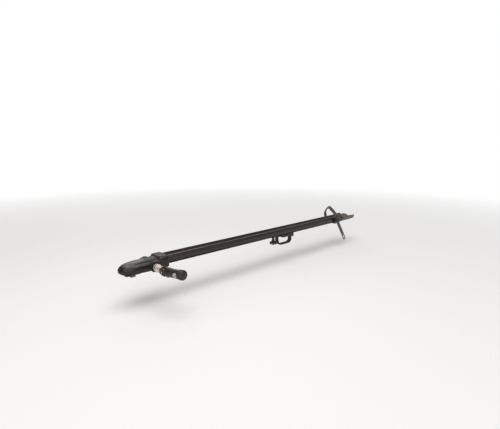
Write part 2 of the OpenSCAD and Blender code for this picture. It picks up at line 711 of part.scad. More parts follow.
// Clamp strap: from the hinge under the bar and up to the clamp bolt
strap_out = bar_h / 2 + gap;
slot_spare = 2;
function band(grow) = let (r = strap_out + grow, x_half = (bar_w - bar_h) / 2,
    mid = bar_top - bar_h / 2) concat(
    [for (a = [35:-15:-90]) [rear_bar + x_half + r * cos(a), mid + r * sin(a)]],
    [for (a = [-90:-15:-180]) [rear_bar - x_half + r * cos(a), mid + r * sin(a)]]);
function flip(list) = [for (i = [len(list) - 1:-1:0]) list[i]];
module strap_band(low, high) polygon(concat(band(high), flip(band(low))));
eye_share = 0.9;
web_share = 0.8;
module clamp_strap() color([0.1, 0.1, 0.1]) {
    difference() {
        union() {
            along_y(2 * strap_half) strap_band(strap_liner_t + seat, strap_liner_t + strap_thick);
            // eye on the hinge pin
            translate([hook_x, 0, hook_z]) rod_y(hinge_d * eye_share, 2 * strap_half);
            along_y(2 * strap_half) polygon([[hook_x - hinge_d * web_share, hook_z],
                [hook_x + hinge_d * web_share, hook_z], [hook_x - strap_thick, hook_z - 2 * hinge_d],
                [hook_x - 2 * hinge_d, hook_z - 2 * hinge_d]]);
            // tab under the saddle arm
            block([knob_x - ear_half, -strap_half, tab_top - strap_thick],
                  [leg_x + strap_thick, strap_half, tab_top]);
            block([leg_x, -strap_half, bar_top - bar_h / 2], [leg_x + strap_thick - seat,
                  strap_half, tab_top]);
        }
        translate([hook_x, 0, hook_z]) rod_y(hinge_d / 2 + fit, 4 * strap_half);
        block([knob_x - 2 * bolt_d, -bolt_d / 2 - seat, tab_top - 2 * strap_thick],
              [knob_x + bolt_d / 2 + slot_spare, bolt_d / 2 + seat, tab_top + strap_thick]);
        // room for the bar
        along_y(4 * strap_half) polygon(band(strap_liner_t + seat / 2));
    }
}
module strap_liner() color([0.04, 0.04, 0.04])
    along_y(2 * strap_half) strap_band(0, strap_liner_t);

// Wing knob: four lobes, a stem above, and a steel bush with the thread
module clamp_washer() color("silver") translate([knob_x, 0, washer_top - washer_t]) difference() {
    cylinder(r = lobe_r, h = washer_t);
    cylinder(r = bolt_d / 2 + fit, h = 4 * washer_t, center = true);
}
skirt_share = 1.4;
recess_share = 0.8;
module wing_knob() color([0.06, 0.06, 0.06]) translate([knob_x, 0, knob_top]) difference() {
    union() {
        translate([0, 0, -stem_h - cut]) cylinder(r1 = lobe_r * skirt_share, r2 = lobe_r, h = stem_h + cut);
        for (turn = [0:90:270]) rotate(turn + 45) hull() {
            translate([knob_d / 2 - lobe_r, 0, -stem_h - knob_h]) cylinder(r = lobe_r, h = knob_h, $fn = 24);
            translate([0, 0, -stem_h - knob_h]) cylinder(r = lobe_r, h = knob_h, $fn = 24);
        }
    }
    cylinder(r = bush_r + fit, h = 3 * (stem_h + knob_h), center = true);
    translate([0, 0, -stem_h - knob_h]) cylinder(r = lobe_r * recess_share, h = knob_h / 2, center = true);
}
module knob_bush() color("darkgoldenrod") translate([knob_x, 0, knob_top - stem_h - knob_h / 2])
    difference() {
        cylinder(r = bush_r, h = stem_h + knob_h / 2);
        translate([0, 0, -cut]) cylinder(r = bolt_d / 2 + fit, h = 4 * stem_h);
    }

// Strap holder: a moulded bridge under the channel, with ears for the anchor and the buckle
holder_long = 34;
holder_t = 4;
holder_low = tray_sole - gap - holder_t;
holder_out = half_w + gap + holder_t;
holder_below = 1.5;
holder_top = belt_top - holder_below;
pin_share = 0.42;
pin_z = tray_sole + tray_h * pin_share;
small_pin_d = 4;
ear_r = 4;
ear_w = 5;
plate_w = 2;
rung_t = 1;
pawl_r = 3.2;
strap_eye_r = small_pin_d / 2 + strap_t;
anchor_y = holder_out + strap_eye_r + gap;
near_y = holder_out + gap;
pawl_y = near_y + strap_t + rung_t + gap + pawl_r;
// Everything on the strap leans about a line across the channel at the height of the pins
module lean() translate([strap_at, 0, pin_z]) rotate([0, -strap_lean, 0]) children();
module ear(y, r) hull() for (place = [y, y < 0 ? -holder_out + cut : holder_out - cut])
    translate([0, place, 0]) rod_x(r, ear_w, $fn = 32);
module strap_holder() color([0.26, 0.23, 0.22])
    difference() {
        union() {
            block([strap_at - holder_long / 2, -holder_out, holder_low],
                  [strap_at + holder_long / 2, holder_out, holder_top]);
            lean() for (side = [-1, 1]) {
                translate([side * (strap_w / 2 + ear_w / 2 + gap), 0, 0]) ear(anchor_y, ear_r);
                translate([side * (strap_w / 2 + plate_w + ear_w / 2 + 2 * gap), 0, 0])
                    ear(-pawl_y, ear_r);
            }
        }
        along_x(strap_at - holder_long, strap_at + holder_long) outer_form(gap);
        lean() for (y = [anchor_y, -pawl_y]) translate([0, y, 0])
            rod_x(small_pin_d / 2 + fit, 2 * holder_long);
    }
module anchor_pin() color("silver") lean() translate([0, anchor_y, 0])
    rod_x(small_pin_d / 2, strap_w + 2 * ear_w + 4 * gap);

// Ladder strap: over the tyre in the leaning plane, down through the buckle, then the free end
rim_r = 11;
strap_peak = (strap_top - pin_z) / cos(strap_lean);
arch_steps = [24:22:156];
side_share = 0.52;
low_share = 0.2;
leg_low = 10;
function arch(grow) = let (r = rim_r + grow, z = strap_peak - rim_r) concat(
    [[anchor_y - strap_eye_r * start_share + grow, 0], [loop_half + grow, strap_peak * side_share]],
    [for (a = arch_steps) [r * cos(a), z + r * sin(a)]],
    [[-loop_half - grow, strap_peak * side_share], [-near_y - grow, strap_peak * low_share],
     [-near_y - grow, -leg_low]]);
start_share = 0.8;
module wheel_strap() color([0.3, 0.27, 0.26]) {
    lean() difference() {
        union() {
            along_x(-strap_w / 2, strap_w / 2) polygon(concat(arch(strap_t), flip(arch(0))));
            translate([0, anchor_y, 0]) rod_x(strap_eye_r, strap_w);
            for (k = [-1:floor(strap_peak * low_share / rung_gap)])
                block([-strap_w / 2 + rung_edge, -near_y - strap_t - rung_t, k * rung_gap],
                      [strap_w / 2 - rung_edge, -near_y - strap_t + seat, k * rung_gap + rung]);
        }
        translate([0, anchor_y, 0]) rod_x(small_pin_d / 2 + fit, 2 * strap_w);
    }
    lean() translate([0, -near_y - strap_t / 2, -leg_low]) rotate([0, strap_lean - tail_lean, 0])
        difference() {
            union() {
                along_y(strap_t) polygon(stadium(strap_w / 2, -tail_l + strap_w / 2, 0));
                // rungs that the pawl catches
                for (k = [2:floor(tail_l * rung_share / rung_gap)])
                    block([-strap_w / 2 + rung_edge, -strap_t / 2 - rung_t, -k * rung_gap],
                          [strap_w / 2 - rung_edge, -strap_t / 2 + seat, -k * rung_gap + rung]);
            }
            // long eye in the end, for a finger
            along_y(4 * strap_t) polygon(stadium(eye_hole_r, -tail_l + strap_w / 2,
                                                 -tail_l + strap_w / 2 + eye_long));
        }
}
// Outline with two round ends
function stadium(r, low, high) = concat([for (a = [180:15:360]) [r * cos(a), low + r * sin(a)]],
    [for (a = [0:15:180]) [r * cos(a), high + r * sin(a)]]);
rung_gap = 5;
rung = 2;
rung_share = 0.62;
rung_edge = 3;
eye_long = 18;
eye_hole_r = 3.6;

// Buckle: two side plates on the holder's near ears, a pawl, and a ratchet lever
buckle_up = 26;
buckle_lift = 6;
lever_long = 33;
lever_thick = 3;
lever_barrel = 4;
tip_up = 6;
pawl_l = 9;
module buckle_frame() lean() translate([0, -pawl_y, 0]) children();
module lever_place() buckle_frame() translate([0, -buckle_lift, buckle_up]) children();
module buckle_base() color([0.16, 0.14, 0.14]) difference() {
    buckle_frame() for (side = [-1, 1]) translate([side * (strap_w / 2 + gap + plate_w / 2), 0, 0])
        hull() {
            rod_x(ear_r, plate_w, $fn = 32);
            translate([0, -buckle_lift, buckle_up]) rod_x(ear_r, plate_w, $fn = 32);
        }
    buckle_frame() rod_x(small_pin_d / 2 + fit, 3 * strap_w);
    lever_place() rod_x(small_pin_d / 2 + fit, 3 * strap_w);
}
module buckle_pins() color("silver") {
    buckle_frame() rod_x(small_pin_d / 2, strap_w + 2 * plate_w + 2 * ear_w + 6 * gap);
    lever_place() rod_x(small_pin_d / 2, strap_w + 2 * plate_w + 6 * gap);
}
module barrel_piece(r, low, high) difference() {
    union() {
        rod_x(r, strap_w - 2 * gap);
        block([-strap_w / 2 + gap, -r, low], [strap_w / 2 - gap, -r + lever_thick, high]);
    }
    rod_x(small_pin_d / 2 + fit, 2 * strap_w);
}
module buckle_lever() color([0.2, 0.18, 0.17]) lever_place()
    barrel_piece(lever_barrel, -lever_long, tip_up);
module buckle_pawl() color([0.12, 0.11, 0.11]) buckle_frame() barrel_piece(pawl_r, 0, pawl_l);

tray_channel();
tray_end_cap();
end_cap_rivets();
head_body();
nose_cover();
nose_insert();
nose_rivet();
cover_screws();
tray_bolts();
axle_tube();
stub_axles();
front_pad();
front_tee_bolts();
front_nuts();
skewer_rod();
cam_pin();
skewer_nut();
cam_collar();
collar_rim();
lever_body();
lever_grip();
lock_bezel();
lock_barrel();
rear_saddle();
rear_pad();
slide_nut();
saddle_bolts();
clamp_bolt();
strap_hinge_pin();
clamp_strap();
strap_liner();
clamp_washer();
wing_knob();
knob_bush();
strap_holder();
anchor_pin();
wheel_strap();
buckle_base();
buckle_pins();
buckle_lever();
buckle_pawl();
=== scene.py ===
import math

import bmesh
import bpy
from mathutils import Matrix, Vector


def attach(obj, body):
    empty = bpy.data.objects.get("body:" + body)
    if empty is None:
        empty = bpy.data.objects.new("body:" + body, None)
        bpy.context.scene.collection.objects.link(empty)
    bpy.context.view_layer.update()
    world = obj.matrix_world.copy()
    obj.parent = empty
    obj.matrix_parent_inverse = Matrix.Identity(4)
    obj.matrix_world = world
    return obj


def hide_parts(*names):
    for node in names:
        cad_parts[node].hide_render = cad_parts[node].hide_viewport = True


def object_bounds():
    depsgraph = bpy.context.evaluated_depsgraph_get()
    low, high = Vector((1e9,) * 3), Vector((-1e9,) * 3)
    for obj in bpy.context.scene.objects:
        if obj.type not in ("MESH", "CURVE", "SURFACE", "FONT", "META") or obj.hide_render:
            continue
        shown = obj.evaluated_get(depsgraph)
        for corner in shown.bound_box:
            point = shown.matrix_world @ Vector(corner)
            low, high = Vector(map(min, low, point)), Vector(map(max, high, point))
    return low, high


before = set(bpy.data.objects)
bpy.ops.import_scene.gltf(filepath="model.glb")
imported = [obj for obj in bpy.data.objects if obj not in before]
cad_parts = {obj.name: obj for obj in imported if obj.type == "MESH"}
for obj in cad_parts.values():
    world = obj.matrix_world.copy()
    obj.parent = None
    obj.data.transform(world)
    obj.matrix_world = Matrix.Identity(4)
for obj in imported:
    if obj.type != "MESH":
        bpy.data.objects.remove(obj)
cad_box = [list(corner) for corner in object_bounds()]

# ---- Studio
# A pale floor well under the carrier, a white surround, and broad soft lamps.
# The camera stands where the photograph was taken, a little above the channel.
def node(tree, kind, **values):
    """A shader node with the values of its sockets, where _ stands for a space in a name."""
    made = tree.nodes.new("ShaderNode" + kind)
    for socket, value in values.items():
        made.inputs[socket.replace("_", " ")].default_value = value
    return made


def wire(tree, *pairs):
    """Links each pair of an output and an input."""
    for output, into in pairs:
        tree.links.new(output, into)


scene = bpy.context.scene
scene.view_settings.view_transform = "Standard"
turn, rise, roll = math.radians(-41.617), math.radians(10.934), math.radians(-0.588)
back = Vector((math.sin(turn) * math.cos(rise), -math.cos(turn) * math.cos(rise), math.sin(rise)))
right = (-back).cross(Vector((0, 0, 1))).normalized()
up = right.cross(-back)
camera_right = right * math.cos(roll) + up * math.sin(roll)
camera_up = up * math.cos(roll) - right * math.sin(roll)
camera = bpy.data.objects.new("camera", bpy.data.cameras.new("camera"))
camera.data.sensor_width = 36
camera.data.lens = 26.47
camera.data.clip_start = 0.01
camera.matrix_world = Matrix.Translation((-0.5408, -1.1268, 0.4007)) @ Matrix(
    (camera_right, camera_up, back)).transposed().to_4x4()
scene.collection.objects.link(camera)
scene.camera = camera

world = bpy.data.worlds.new("studio")
scene.world = world
world.use_nodes = True
tree = world.node_tree
tree.nodes.clear()
ray = node(tree, "LightPath")
seen = node(tree, "Math")
seen.operation = "MAXIMUM"
soft = node(tree, "Background", Color=(1, 0.975, 0.945, 1), Strength=0.36)
white = node(tree, "Background", Color=(1, 1, 1, 1))
mix = node(tree, "MixShader")
wire(tree, (ray.outputs["Is Camera Ray"], seen.inputs[0]),
     (ray.outputs["Is Transmission Ray"], seen.inputs[1]), (seen.outputs[0], mix.inputs[0]),
     (soft.outputs[0], mix.inputs[1]), (white.outputs[0], mix.inputs[2]),
     (mix.outputs[0], node(tree, "OutputWorld").inputs[0]))

lamps_aim = Vector((0.35, 0, 0))
for name, place, size, power, tint in (
        ("lamp_over", (0.1, -0.3, 2.6), 2.4, 52, (1, 0.99, 0.96)),
        ("lamp_near", (-1.6, -2.2, 1.4), 3, 34, (1, 1, 1)),
        ("lamp_back", (1.2, 2.4, 1.8), 1.8, 9, (1, 0.99, 0.97))):
    lamp = bpy.data.objects.new(name, bpy.data.lights.new(name, "AREA"))
    lamp.data.size = size
    lamp.data.energy = power
    lamp.data.color = tint
    lamp.matrix_world = Matrix.Translation(place) @ (
        lamps_aim - Vector(place)).to_track_quat("-Z", "Y").to_matrix().to_4x4()
    scene.collection.objects.link(lamp)

floor_gap = 0.02
bm = bmesh.new()
bmesh.ops.create_circle(bm, cap_ends=True, segments=96, radius=14,
                        matrix=Matrix.Translation((0.5, 0, cad_box[0][2] - floor_gap)))
mesh = bpy.data.meshes.new("floor")
bm.to_mesh(mesh)
bm.free()
floor = bpy.data.objects.new("floor", mesh)
scene.collection.objects.link(floor)
paper = bpy.data.materials.new("floor_paper")
paper.use_nodes = True
tree = paper.node_tree
shader = tree.nodes["Principled BSDF"]
shader.inputs["Base Color"].default_value = (0.86, 0.86, 0.86, 1)
shader.inputs["Roughness"].default_value = 0.9
reach = node(tree, "VectorMath")
reach.operation = "LENGTH"
fade = node(tree, "MapRange", From_Min=0.9, From_Max=3.4)
mix = node(tree, "MixShader")
wire(tree, (node(tree, "TexCoord").outputs["Object"], reach.inputs[0]),
     (reach.outputs["Value"], fade.inputs["Value"]), (fade.outputs["Result"], mix.inputs[0]),
     (shader.outputs[0], mix.inputs[1]), (node(tree, "Emission").outputs[0], mix.inputs[2]),
     (mix.outputs[0], tree.nodes["Material Output"].inputs["Surface"]))
mesh.materials.append(paper)

# ---- Wheel channel
# The long tray is one warm brown-black extrusion: two round ridges carry the tyre, the flanks slant
# out to a belt with two fine grooves, and the sole has a slot for sliding nuts. Painted shade
# darkens it low down and dims its reflections there, and a painted highlight lightens the tops of
# the ridges.
def finish(name, colour, worn, rough, grain=1500, depth=0.00012, metal=0.0, stretch=(1, 1, 1),
           coat=0.0, patch=40, relief=0.4, spread=0.07, shine=0.5):
    """A finish whose colour and gloss drift in broad patches, with a fine grain in relief."""
    paint = bpy.data.materials.new(name)
    paint.use_nodes = True
    tree = paint.node_tree
    shader = tree.nodes["Principled BSDF"]
    stretched = node(tree, "Mapping", Scale=stretch)
    broad = node(tree, "TexNoise", Scale=patch, Detail=5, Roughness=0.6)
    fine = node(tree, "TexNoise", Scale=grain, Detail=3)
    shade = node(tree, "ValToRGB")
    for stop, place, tone in zip(shade.color_ramp.elements, (0.3, 0.72), (colour, worn)):
        stop.position = place
        stop.color = (*tone, 1)
    gloss = node(tree, "MapRange", From_Min=0.3, From_Max=0.7, To_Min=rough - spread,
                 To_Max=rough + spread)
    bump = node(tree, "Bump", Strength=relief, Distance=depth)
    wire(tree, (node(tree, "TexCoord").outputs["Object"], stretched.inputs["Vector"]),
         (stretched.outputs["Vector"], broad.inputs["Vector"]),
         (stretched.outputs["Vector"], fine.inputs["Vector"]),
         (broad.outputs["Fac"], shade.inputs["Fac"]),
         (shade.outputs["Color"], shader.inputs["Base Color"]),
         (broad.outputs["Fac"], gloss.inputs["Value"]),
         (gloss.outputs["Result"], shader.inputs["Roughness"]),
         (fine.outputs["Fac"], bump.inputs["Height"]),
         (bump.outputs["Normal"], shader.inputs["Normal"]))
    shader.inputs["Metallic"].default_value = metal
    shader.inputs["Specular IOR Level"].default_value = shine
    shader.inputs["Coat Weight"].default_value = coat
    shader.inputs["Coat Roughness"].default_value = 0.12
    return paint


def overlay(paint, share, colour, where):
    """Mixes a colour into a finish, where the share is 0 or where it is 1."""
    tree = paint.node_tree
    base = tree.nodes["Principled BSDF"].inputs["Base Color"]
    mix = node(tree, "Mix")
    mix.data_type = "RGBA"
    mix.inputs[6 + where].default_value = (*colour, 1)
    wire(tree, (share.outputs["Result"], mix.inputs[0]),
         (base.links[0].from_socket, mix.inputs[7 - where]), (mix.outputs[2], base))


def piece(bm, name, body, paint, stands_for=(), crease=35):
    """Closes a bmesh into a named piece that rides on its body."""
    bmesh.ops.remove_doubles(bm, verts=bm.verts, dist=0.000004)
    bmesh.ops.recalc_face_normals(bm, faces=bm.faces)
    mesh = bpy.data.meshes.new(name)
    bm.to_mesh(mesh)
    bm.free()
    mesh.shade_smooth()
    mesh.set_sharp_from_angle(angle=math.radians(crease))
    obj = bpy.data.objects.new(name, mesh)
    scene.collection.objects.link(obj)
    mesh.materials.append(paint)
    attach(obj, body)
    if stands_for:
        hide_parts(*stands_for)


def drawn_out(bm, outline, shift):
    """A flat outline, in millimetres, drawn out by a shift. Returns its vertices."""
    near = [bm.verts.new([c / 1000 for c in spot]) for spot in outline]
    out = bmesh.ops.extrude_face_region(bm, geom=[bm.faces.new(near)])["geom"]
    far = [g for g in out if isinstance(g, bmesh.types.BMVert)]
    bmesh.ops.translate(bm, verts=far, vec=Vector(shift) / 1000)
    return near + far


def mirrored(half):
    """Points (y, z) of half an outline, mirrored and in reverse order."""
    return [(-y, z) for y, z in reversed(half)]


def lengthwise(bm, test):
    """Edges that run along X and whose middle passes the test."""
    return [e for e in bm.edges if abs((e.verts[0].co - e.verts[1].co).normalized().x) > 0.6
            and test((e.verts[0].co + e.verts[1].co) / 2)]


def soften(bm, edges, radius, steps=2, clamp=False):
    """Rounds edges off, by a radius in millimetres."""
    bmesh.ops.bevel(bm, geom=edges, offset=radius / 1000, segments=steps, profile=0.5,
                    affect="EDGES", material=-1, clamp_overlap=clamp)


channel_half = [(4.5, -5.5), (24.19, -5.5), (29.07, 4.81), (28.7, 4.9), (28.7, 6.5), (29.5, 6.6),
                (29.5, 10.1), (28.7, 10.2), (28.7, 11.8), (29.5, 11.9), (29.5, 13.38),
                (20.5, 24), (17.1, 24), (17.1, 22.3), (10, 11)]
nut_room = [(10, 8.5), (10, -3), (4.5, -3)]
section = channel_half + mirrored(channel_half) + mirrored(nut_room) + nut_room
bm = bmesh.new()
drawn_out(bm, [(22, y, z) for y, z in section], (1083, 0, 0))
for low, high, radius, steps in ((0.0236, 0.025, 1.5, 4), (0.0125, 0.0236, 1.2, 3),
                                 (-0.006, -0.005, 1.1, 3)):
    soften(bm, lengthwise(bm, lambda m: low < m.z < high), radius, steps, clamp=True)
soften(bm, lengthwise(bm, lambda m: -0.0049 < m.z < 0.0124 and abs(m.y) > 0.028), 0.2)
anodised = finish("channel_metal", (0.02, 0.0165, 0.0138), (0.034, 0.0284, 0.0242), 0.27,
                  grain=1300, depth=0.00005, stretch=(0.045, 1, 1), patch=90, relief=0.3)
# The first colour is painted shade for the low flanks, the second a painted highlight for the ridge
# tops.
painted_shade_colour, ridge_highlight_colour = (0.007, 0.0058, 0.005), (0.22, 0.19, 0.168)
tree = anodised.node_tree
split = node(tree, "SeparateXYZ")
# Painted shade: the colour darkens towards the sole, from about 10 mm height down.
painted_shade_low = node(tree, "MapRange", From_Min=-0.003, From_Max=0.0105)
# Painted highlight: the colour lightens on the top millimetre of the ridges.
painted_highlight_ridge = node(tree, "MapRange", From_Min=0.0228, From_Max=0.0237)
painted_shade_gloss = node(tree, "MapRange", To_Min=0.03, To_Max=0.5)
wire(tree, (node(tree, "TexCoord").outputs["Object"], split.inputs[0]),
     (split.outputs["Z"], painted_shade_low.inputs["Value"]), (split.outputs["Z"], painted_highlight_ridge.inputs["Value"]),
     (painted_shade_low.outputs["Result"], painted_shade_gloss.inputs["Value"]))
overlay(anodised, painted_shade_low, painted_shade_colour, 0)
overlay(anodised, painted_highlight_ridge, ridge_highlight_colour, 1)
# The painted shade also turns down specular, coat and metallic low down, so the flanks reflect less
# there.
for socket in ("Specular IOR Level", "Coat Weight", "Metallic"):
    wire(tree, (painted_shade_gloss.outputs["Result"], tree.nodes["Principled BSDF"].inputs[socket]))
piece(bm, "channel", "carrier", anodised, ["tray_channel"])

# ---- Tail shoe
# A moulded end of lighter brown-grey plastic is pushed over the extrusion and pinned through both
# flanks. Its ridges slope off, and between low walls the floor falls away as a ramp for the tyre.
full_ridge = [(22.6, -7.5), (31.5, 4.9), (31.5, 14.4), (22.6, 24.9), (21.1, 26), (17.7, 26),
              (17.1, 25.2), (17.1, 23.8), (10, 12.8)]
shoe_rings = [
    (1085, full_ridge),
    (1128.2, full_ridge),
    (1130, [(22.6, -7.4), (31.5, 4.9), (31.5, 14.4), (22.8, 24.6), (21.4, 25.5), (17.6, 25.5),
            (17, 24.9), (17, 23.6), (10, 12.8)]),
    (1135, [(22.7, -7.3), (31.5, 4.9), (31.5, 14.4), (26.6, 20.1), (25.6, 20.6), (16, 20.6),
            (15.4, 20.3), (15, 19.8), (10, 12.6)]),
    (1140.5, [(22.8, -7.1), (31.5, 4.9), (31.5, 14.2), (31, 14.9), (30.4, 15.2), (13.2, 15.2),
              (12.4, 15), (12, 14.7), (10, 12.2)]),
    (1142.5, [(22.8, -7.1), (31.5, 4.9), (31.5, 13.9), (31.1, 14.5), (30.6, 14.7), (14.2, 14.7),
              (13.4, 14.5), (12.8, 14), (10, 12)]),
    (1151, [(22.9, -6.9), (31.5, 4.9), (31.5, 13.9), (31.1, 14.5), (30.6, 14.7), (20.4, 14.7),
            (19.6, 14.4), (18.6, 13), (10, 9.4)]),
    (1165, [(23, -6.7), (31.5, 4.9), (31.5, 13.9), (31.1, 14.5), (30.6, 14.7), (26.2, 14.7),
            (25.6, 14.2), (24.6, 8.2), (10, 5.6)]),
    (1190.5, [(23.1, -6.3), (31.4, 4.9), (31.4, 13.7), (31, 14.3), (30.5, 14.5), (28.4, 14.5),
              (27.8, 14), (26.4, 1), (10, -0.6)]),
    (1192.9, [(22.6, -5.4), (30.7, 5), (30.7, 12.9), (30.4, 13.4), (30, 13.6), (28.9, 13.6),
              (28.5, 13.2), (26.8, 0.2), (10, -1.4)])]
bm = bmesh.new()
rings = []
for place, half in shoe_rings:
    spots = [bm.verts.new((place / 1000, y / 1000, z / 1000))
             for y, z in half + mirrored(half)]
    rings.append([bm.edges.new(pair) for pair in zip(spots, spots[1:] + spots[:1])])
    if len(rings) > 1:
        bmesh.ops.bridge_loops(bm, edges=rings[-2] + rings[-1])
for ring in (rings[0], rings[-1]):
    bmesh.ops.triangle_fill(bm, use_beauty=True, edges=ring)
soften(bm, lengthwise(bm, lambda m: (m.z < -0.003 or 0.004 < m.z < 0.006) and abs(m.y) > 0.02),
       0.7, 3)
tail_plastic = finish("tail_plastic", (0.108, 0.086, 0.078), (0.145, 0.118, 0.107), 0.5,
                      depth=0.0002, patch=30)
piece(bm, "tail_shoe", "carrier", tail_plastic, ["tray_end_cap"])

# ---- Pins of the shoe
# Two blackened rivets hold the shoe. Each has a low domed head with a drive dimple.
def move_new(bm, before, matrix):
    """Moves the vertices that were not there before."""
    bmesh.ops.transform(bm, matrix=matrix, verts=[v for v in bm.verts if v not in before])


def turned(bm, profile, axis="Y", place=(0, 0, 0), steps=48):
    """A turned form: profile of (along the axis, radius) in millimetres, spun all the way round."""
    before = set(bm.verts)
    line = [bm.verts.new((a / 1000, 0, r / 1000)) for a, r in profile]
    edges = [bm.edges.new(pair) for pair in zip(line, line[1:])]
    bmesh.ops.spin(bm, geom=line + edges, axis=(1, 0, 0), cent=(0, 0, 0), steps=steps,
                   angle=math.tau, use_merge=True)
    bmesh.ops.remove_doubles(bm, verts=[v for v in bm.verts if v not in before], dist=0.000004)
    angle, about = {"X": (0, "Z"), "-X": (180, "Z"), "Y": (90, "Z"), "-Y": (-90, "Z"),
                    "Z": (-90, "Y")}[axis]
    move_new(bm, before, Matrix.Translation(Vector(place) / 1000)
             @ Matrix.Rotation(math.radians(angle), 4, about))


bm = bmesh.new()
for side, axis in ((-1, "-Y"), (1, "Y")):
    turned(bm, [(-4.7, 0), (-4.7, 2), (0.01, 2), (0.05, 4), (0.6, 3.9), (1.1, 3), (1.2, 1.6),
                (0.7, 1.2), (0.7, 0)], axis, (1095, side * 31.5, 9.55))
blackened = finish("dark_steel", (0.03, 0.03, 0.032), (0.075, 0.07, 0.068), 0.38, grain=1600,
                   metal=0.9, patch=24, relief=0.25)
piece(bm, "shoe_rivets", "carrier", blackened, ["end_cap_rivets"])

# ---- Head moulding
# The head is moulded in one with its sole: a long rounded box that takes the channel in a socket
# behind, with a round boss on each flank for the cross tube and three short ribs ahead of it.
def edges_of(verts):
    return list({e for v in verts for e in v.link_edges})


def head_skin(bm, stations):
    """The head's skin through stations of (place, half width, top, sole, roundness above), in
    millimetres. Each ring is a circle pressed square below. Returns the edges of each ring."""
    square, belly = 0.4, 0.36
    rings = []
    for place, half, top, sole, above in stations:
        ring = bmesh.ops.create_circle(bm, segments=56, radius=1)["verts"]
        middle = sole + (top - sole) * belly
        for v in ring:
            c, n = v.co.x, v.co.y
            power, reach = (above, top - middle) if n > 0 else (square, sole - middle)
            v.co = Vector((place, math.copysign(abs(c) ** power, c) * half,
                           middle + abs(n) ** power * reach)) / 1000
        rings.append(edges_of(ring))
        if len(rings) > 1:
            bmesh.ops.bridge_loops(bm, edges=rings[-2] + rings[-1])
    return rings


def drawn_on(bm, loop, move):
    """Extrudes a loop of edges and moves its new vertices. Returns the new loop."""
    out = bmesh.ops.extrude_edge_only(bm, edges=loop)["geom"]
    for g in out:
        if isinstance(g, bmesh.types.BMVert):
            g.co = move(g.co)
    bm.normal_update()  # a bevel that follows reads the new walls' normals
    return [g for g in out if isinstance(g, bmesh.types.BMEdge)]


def folded_in(bm, loop, moves, middle):
    """Folds a loop in by moves of (shift along X, shrink) about a height, and closes it."""
    for shift, shrink in moves:
        loop = drawn_on(bm, loop, lambda c: Vector((
            c.x + shift, c.y * shrink, (c.z - middle) * shrink + middle)))
    bmesh.ops.contextual_create(bm, geom=loop)


def slab(bm, low, high, soft=0.6, steps=3):
    """A block between two corners, in millimetres. Its edges are eased unless soft is 0."""
    made = bmesh.ops.create_cube(bm, size=1)["verts"]
    bmesh.ops.scale(bm, vec=[(b - a) / 1000 for a, b in zip(low, high)], verts=made)
    bmesh.ops.translate(bm, vec=[(a + b) / 2000 for a, b in zip(low, high)], verts=made)
    if soft:
        soften(bm, edges_of(made), soft, steps)


head_stations = [(-49.7, 36.5, 21.55, -15, 0.88), (-42, 37.24, 21.84, -15, 0.87),
                 (-31, 37.7, 22, -15, 0.86), (-20, 38, 22.12, -15, 0.85),
                 (-8, 38, 22.3, -15, 0.845), (5.4, 38, 22.4, -15, 0.84), (15, 38, 23, -15, 0.8),
                 (18.5, 38, 24.6, -15, 0.68), (22, 38, 27.2, -15, 0.5), (27.5, 38, 28, -15, 0.4),
                 (47.5, 38, 27.72, -15, 0.4), (52.6, 37.5, 27.1, -14.6, 0.4),
                 (54, 36.4, 26, -13.8, 0.4)]
bm = bmesh.new()
rings = head_skin(bm, head_stations)
folded_in(bm, rings[0], ((0, 0.965), (0.004, 0.955)), 0.006)
folded_in(bm, rings[-1], ((0, 0.93), (-0.003, 0.92)), 0.006)
black_mould = finish("head_plastic", (0.0105, 0.0082, 0.0068), (0.0165, 0.0132, 0.0112), 0.3,
                     grain=1200, depth=0.00006, coat=0.08, patch=35, relief=0.25, shine=0.32)
piece(bm, "head_moulding", "carrier", black_mould, ["head_body"], crease=48)

bm = bmesh.new()
for axis in ("-Y", "Y"):
    turned(bm, [(30, 18.5), (40.4, 18.5), (41.4, 18.2), (42, 17.4), (42, 14.2), (41.4, 13.6),
                (30, 13.6)], axis, steps=64)
for low in (-2.1, 3.5, 9.1):
    for flank in (-36.4, 36.4):
        slab(bm, (-45, flank - 2.25, low), (-18, flank + 2.25, low + 2.2), 0.8)
piece(bm, "head_bosses", "carrier", black_mould)

# ---- Nose cover
# A glossy black shell snaps over the front of the sole plate. It runs down to a blunt, rounded tip
# and meets the head moulding in a fine seam.
cover_stations = [(-110.9, 3, 3.4, -3.3, 1), (-110.4, 6.5, 5.4, -5.6, 1),
                  (-108.8, 10.3, 7.7, -8, 1), (-104.3, 16, 12.2, -11.1, 1),
                  (-100, 20, 14.6, -12.7, 0.98),
                  (-95.5, 23.6, 16.8, -13.8, 0.96), (-89, 27, 18.4, -14.6, 0.94),
                  (-82.1, 30, 19.6, -15, 0.92), (-73, 32.6, 20.5, -15, 0.91),
                  (-64.4, 34.6, 21, -15, 0.9), (-56, 36, 21.35, -15, 0.885),
                  (-50.05, 36.5, 21.55, -15, 0.88)]
bm = bmesh.new()
rings = head_skin(bm, cover_stations)
bmesh.ops.contextual_create(bm, geom=rings[0])
folded_in(bm, rings[-1], ((0, 0.965), (-0.004, 0.955)), 0.005)
gloss_dark = (0.0095, 0.0076, 0.0064)
gloss_black = finish("cover_gloss", gloss_dark, (0.015, 0.0122, 0.0104), 0.24, grain=500,
                     depth=0.00004, coat=0.16, relief=0.12, patch=28, spread=0.04, shine=0.32)
piece(bm, "nose_shell", "carrier", gloss_black, ["nose_cover"], crease=48)

# ---- Leaf panel
# An oval of brown-grey pearl plastic is let into the crown, over the seam, and held by clips. It
# is blunt ahead and pointed behind, its edge is eased, and a glossy black stripe runs along its
# middle.
def scratch_object(bm, name):
    """An object that a modifier needs and that is removed again."""
    mesh = bpy.data.meshes.new(name)
    bm.to_mesh(mesh)
    bm.free()
    obj = bpy.data.objects.new(name, mesh)
    scene.collection.objects.link(obj)
    return obj


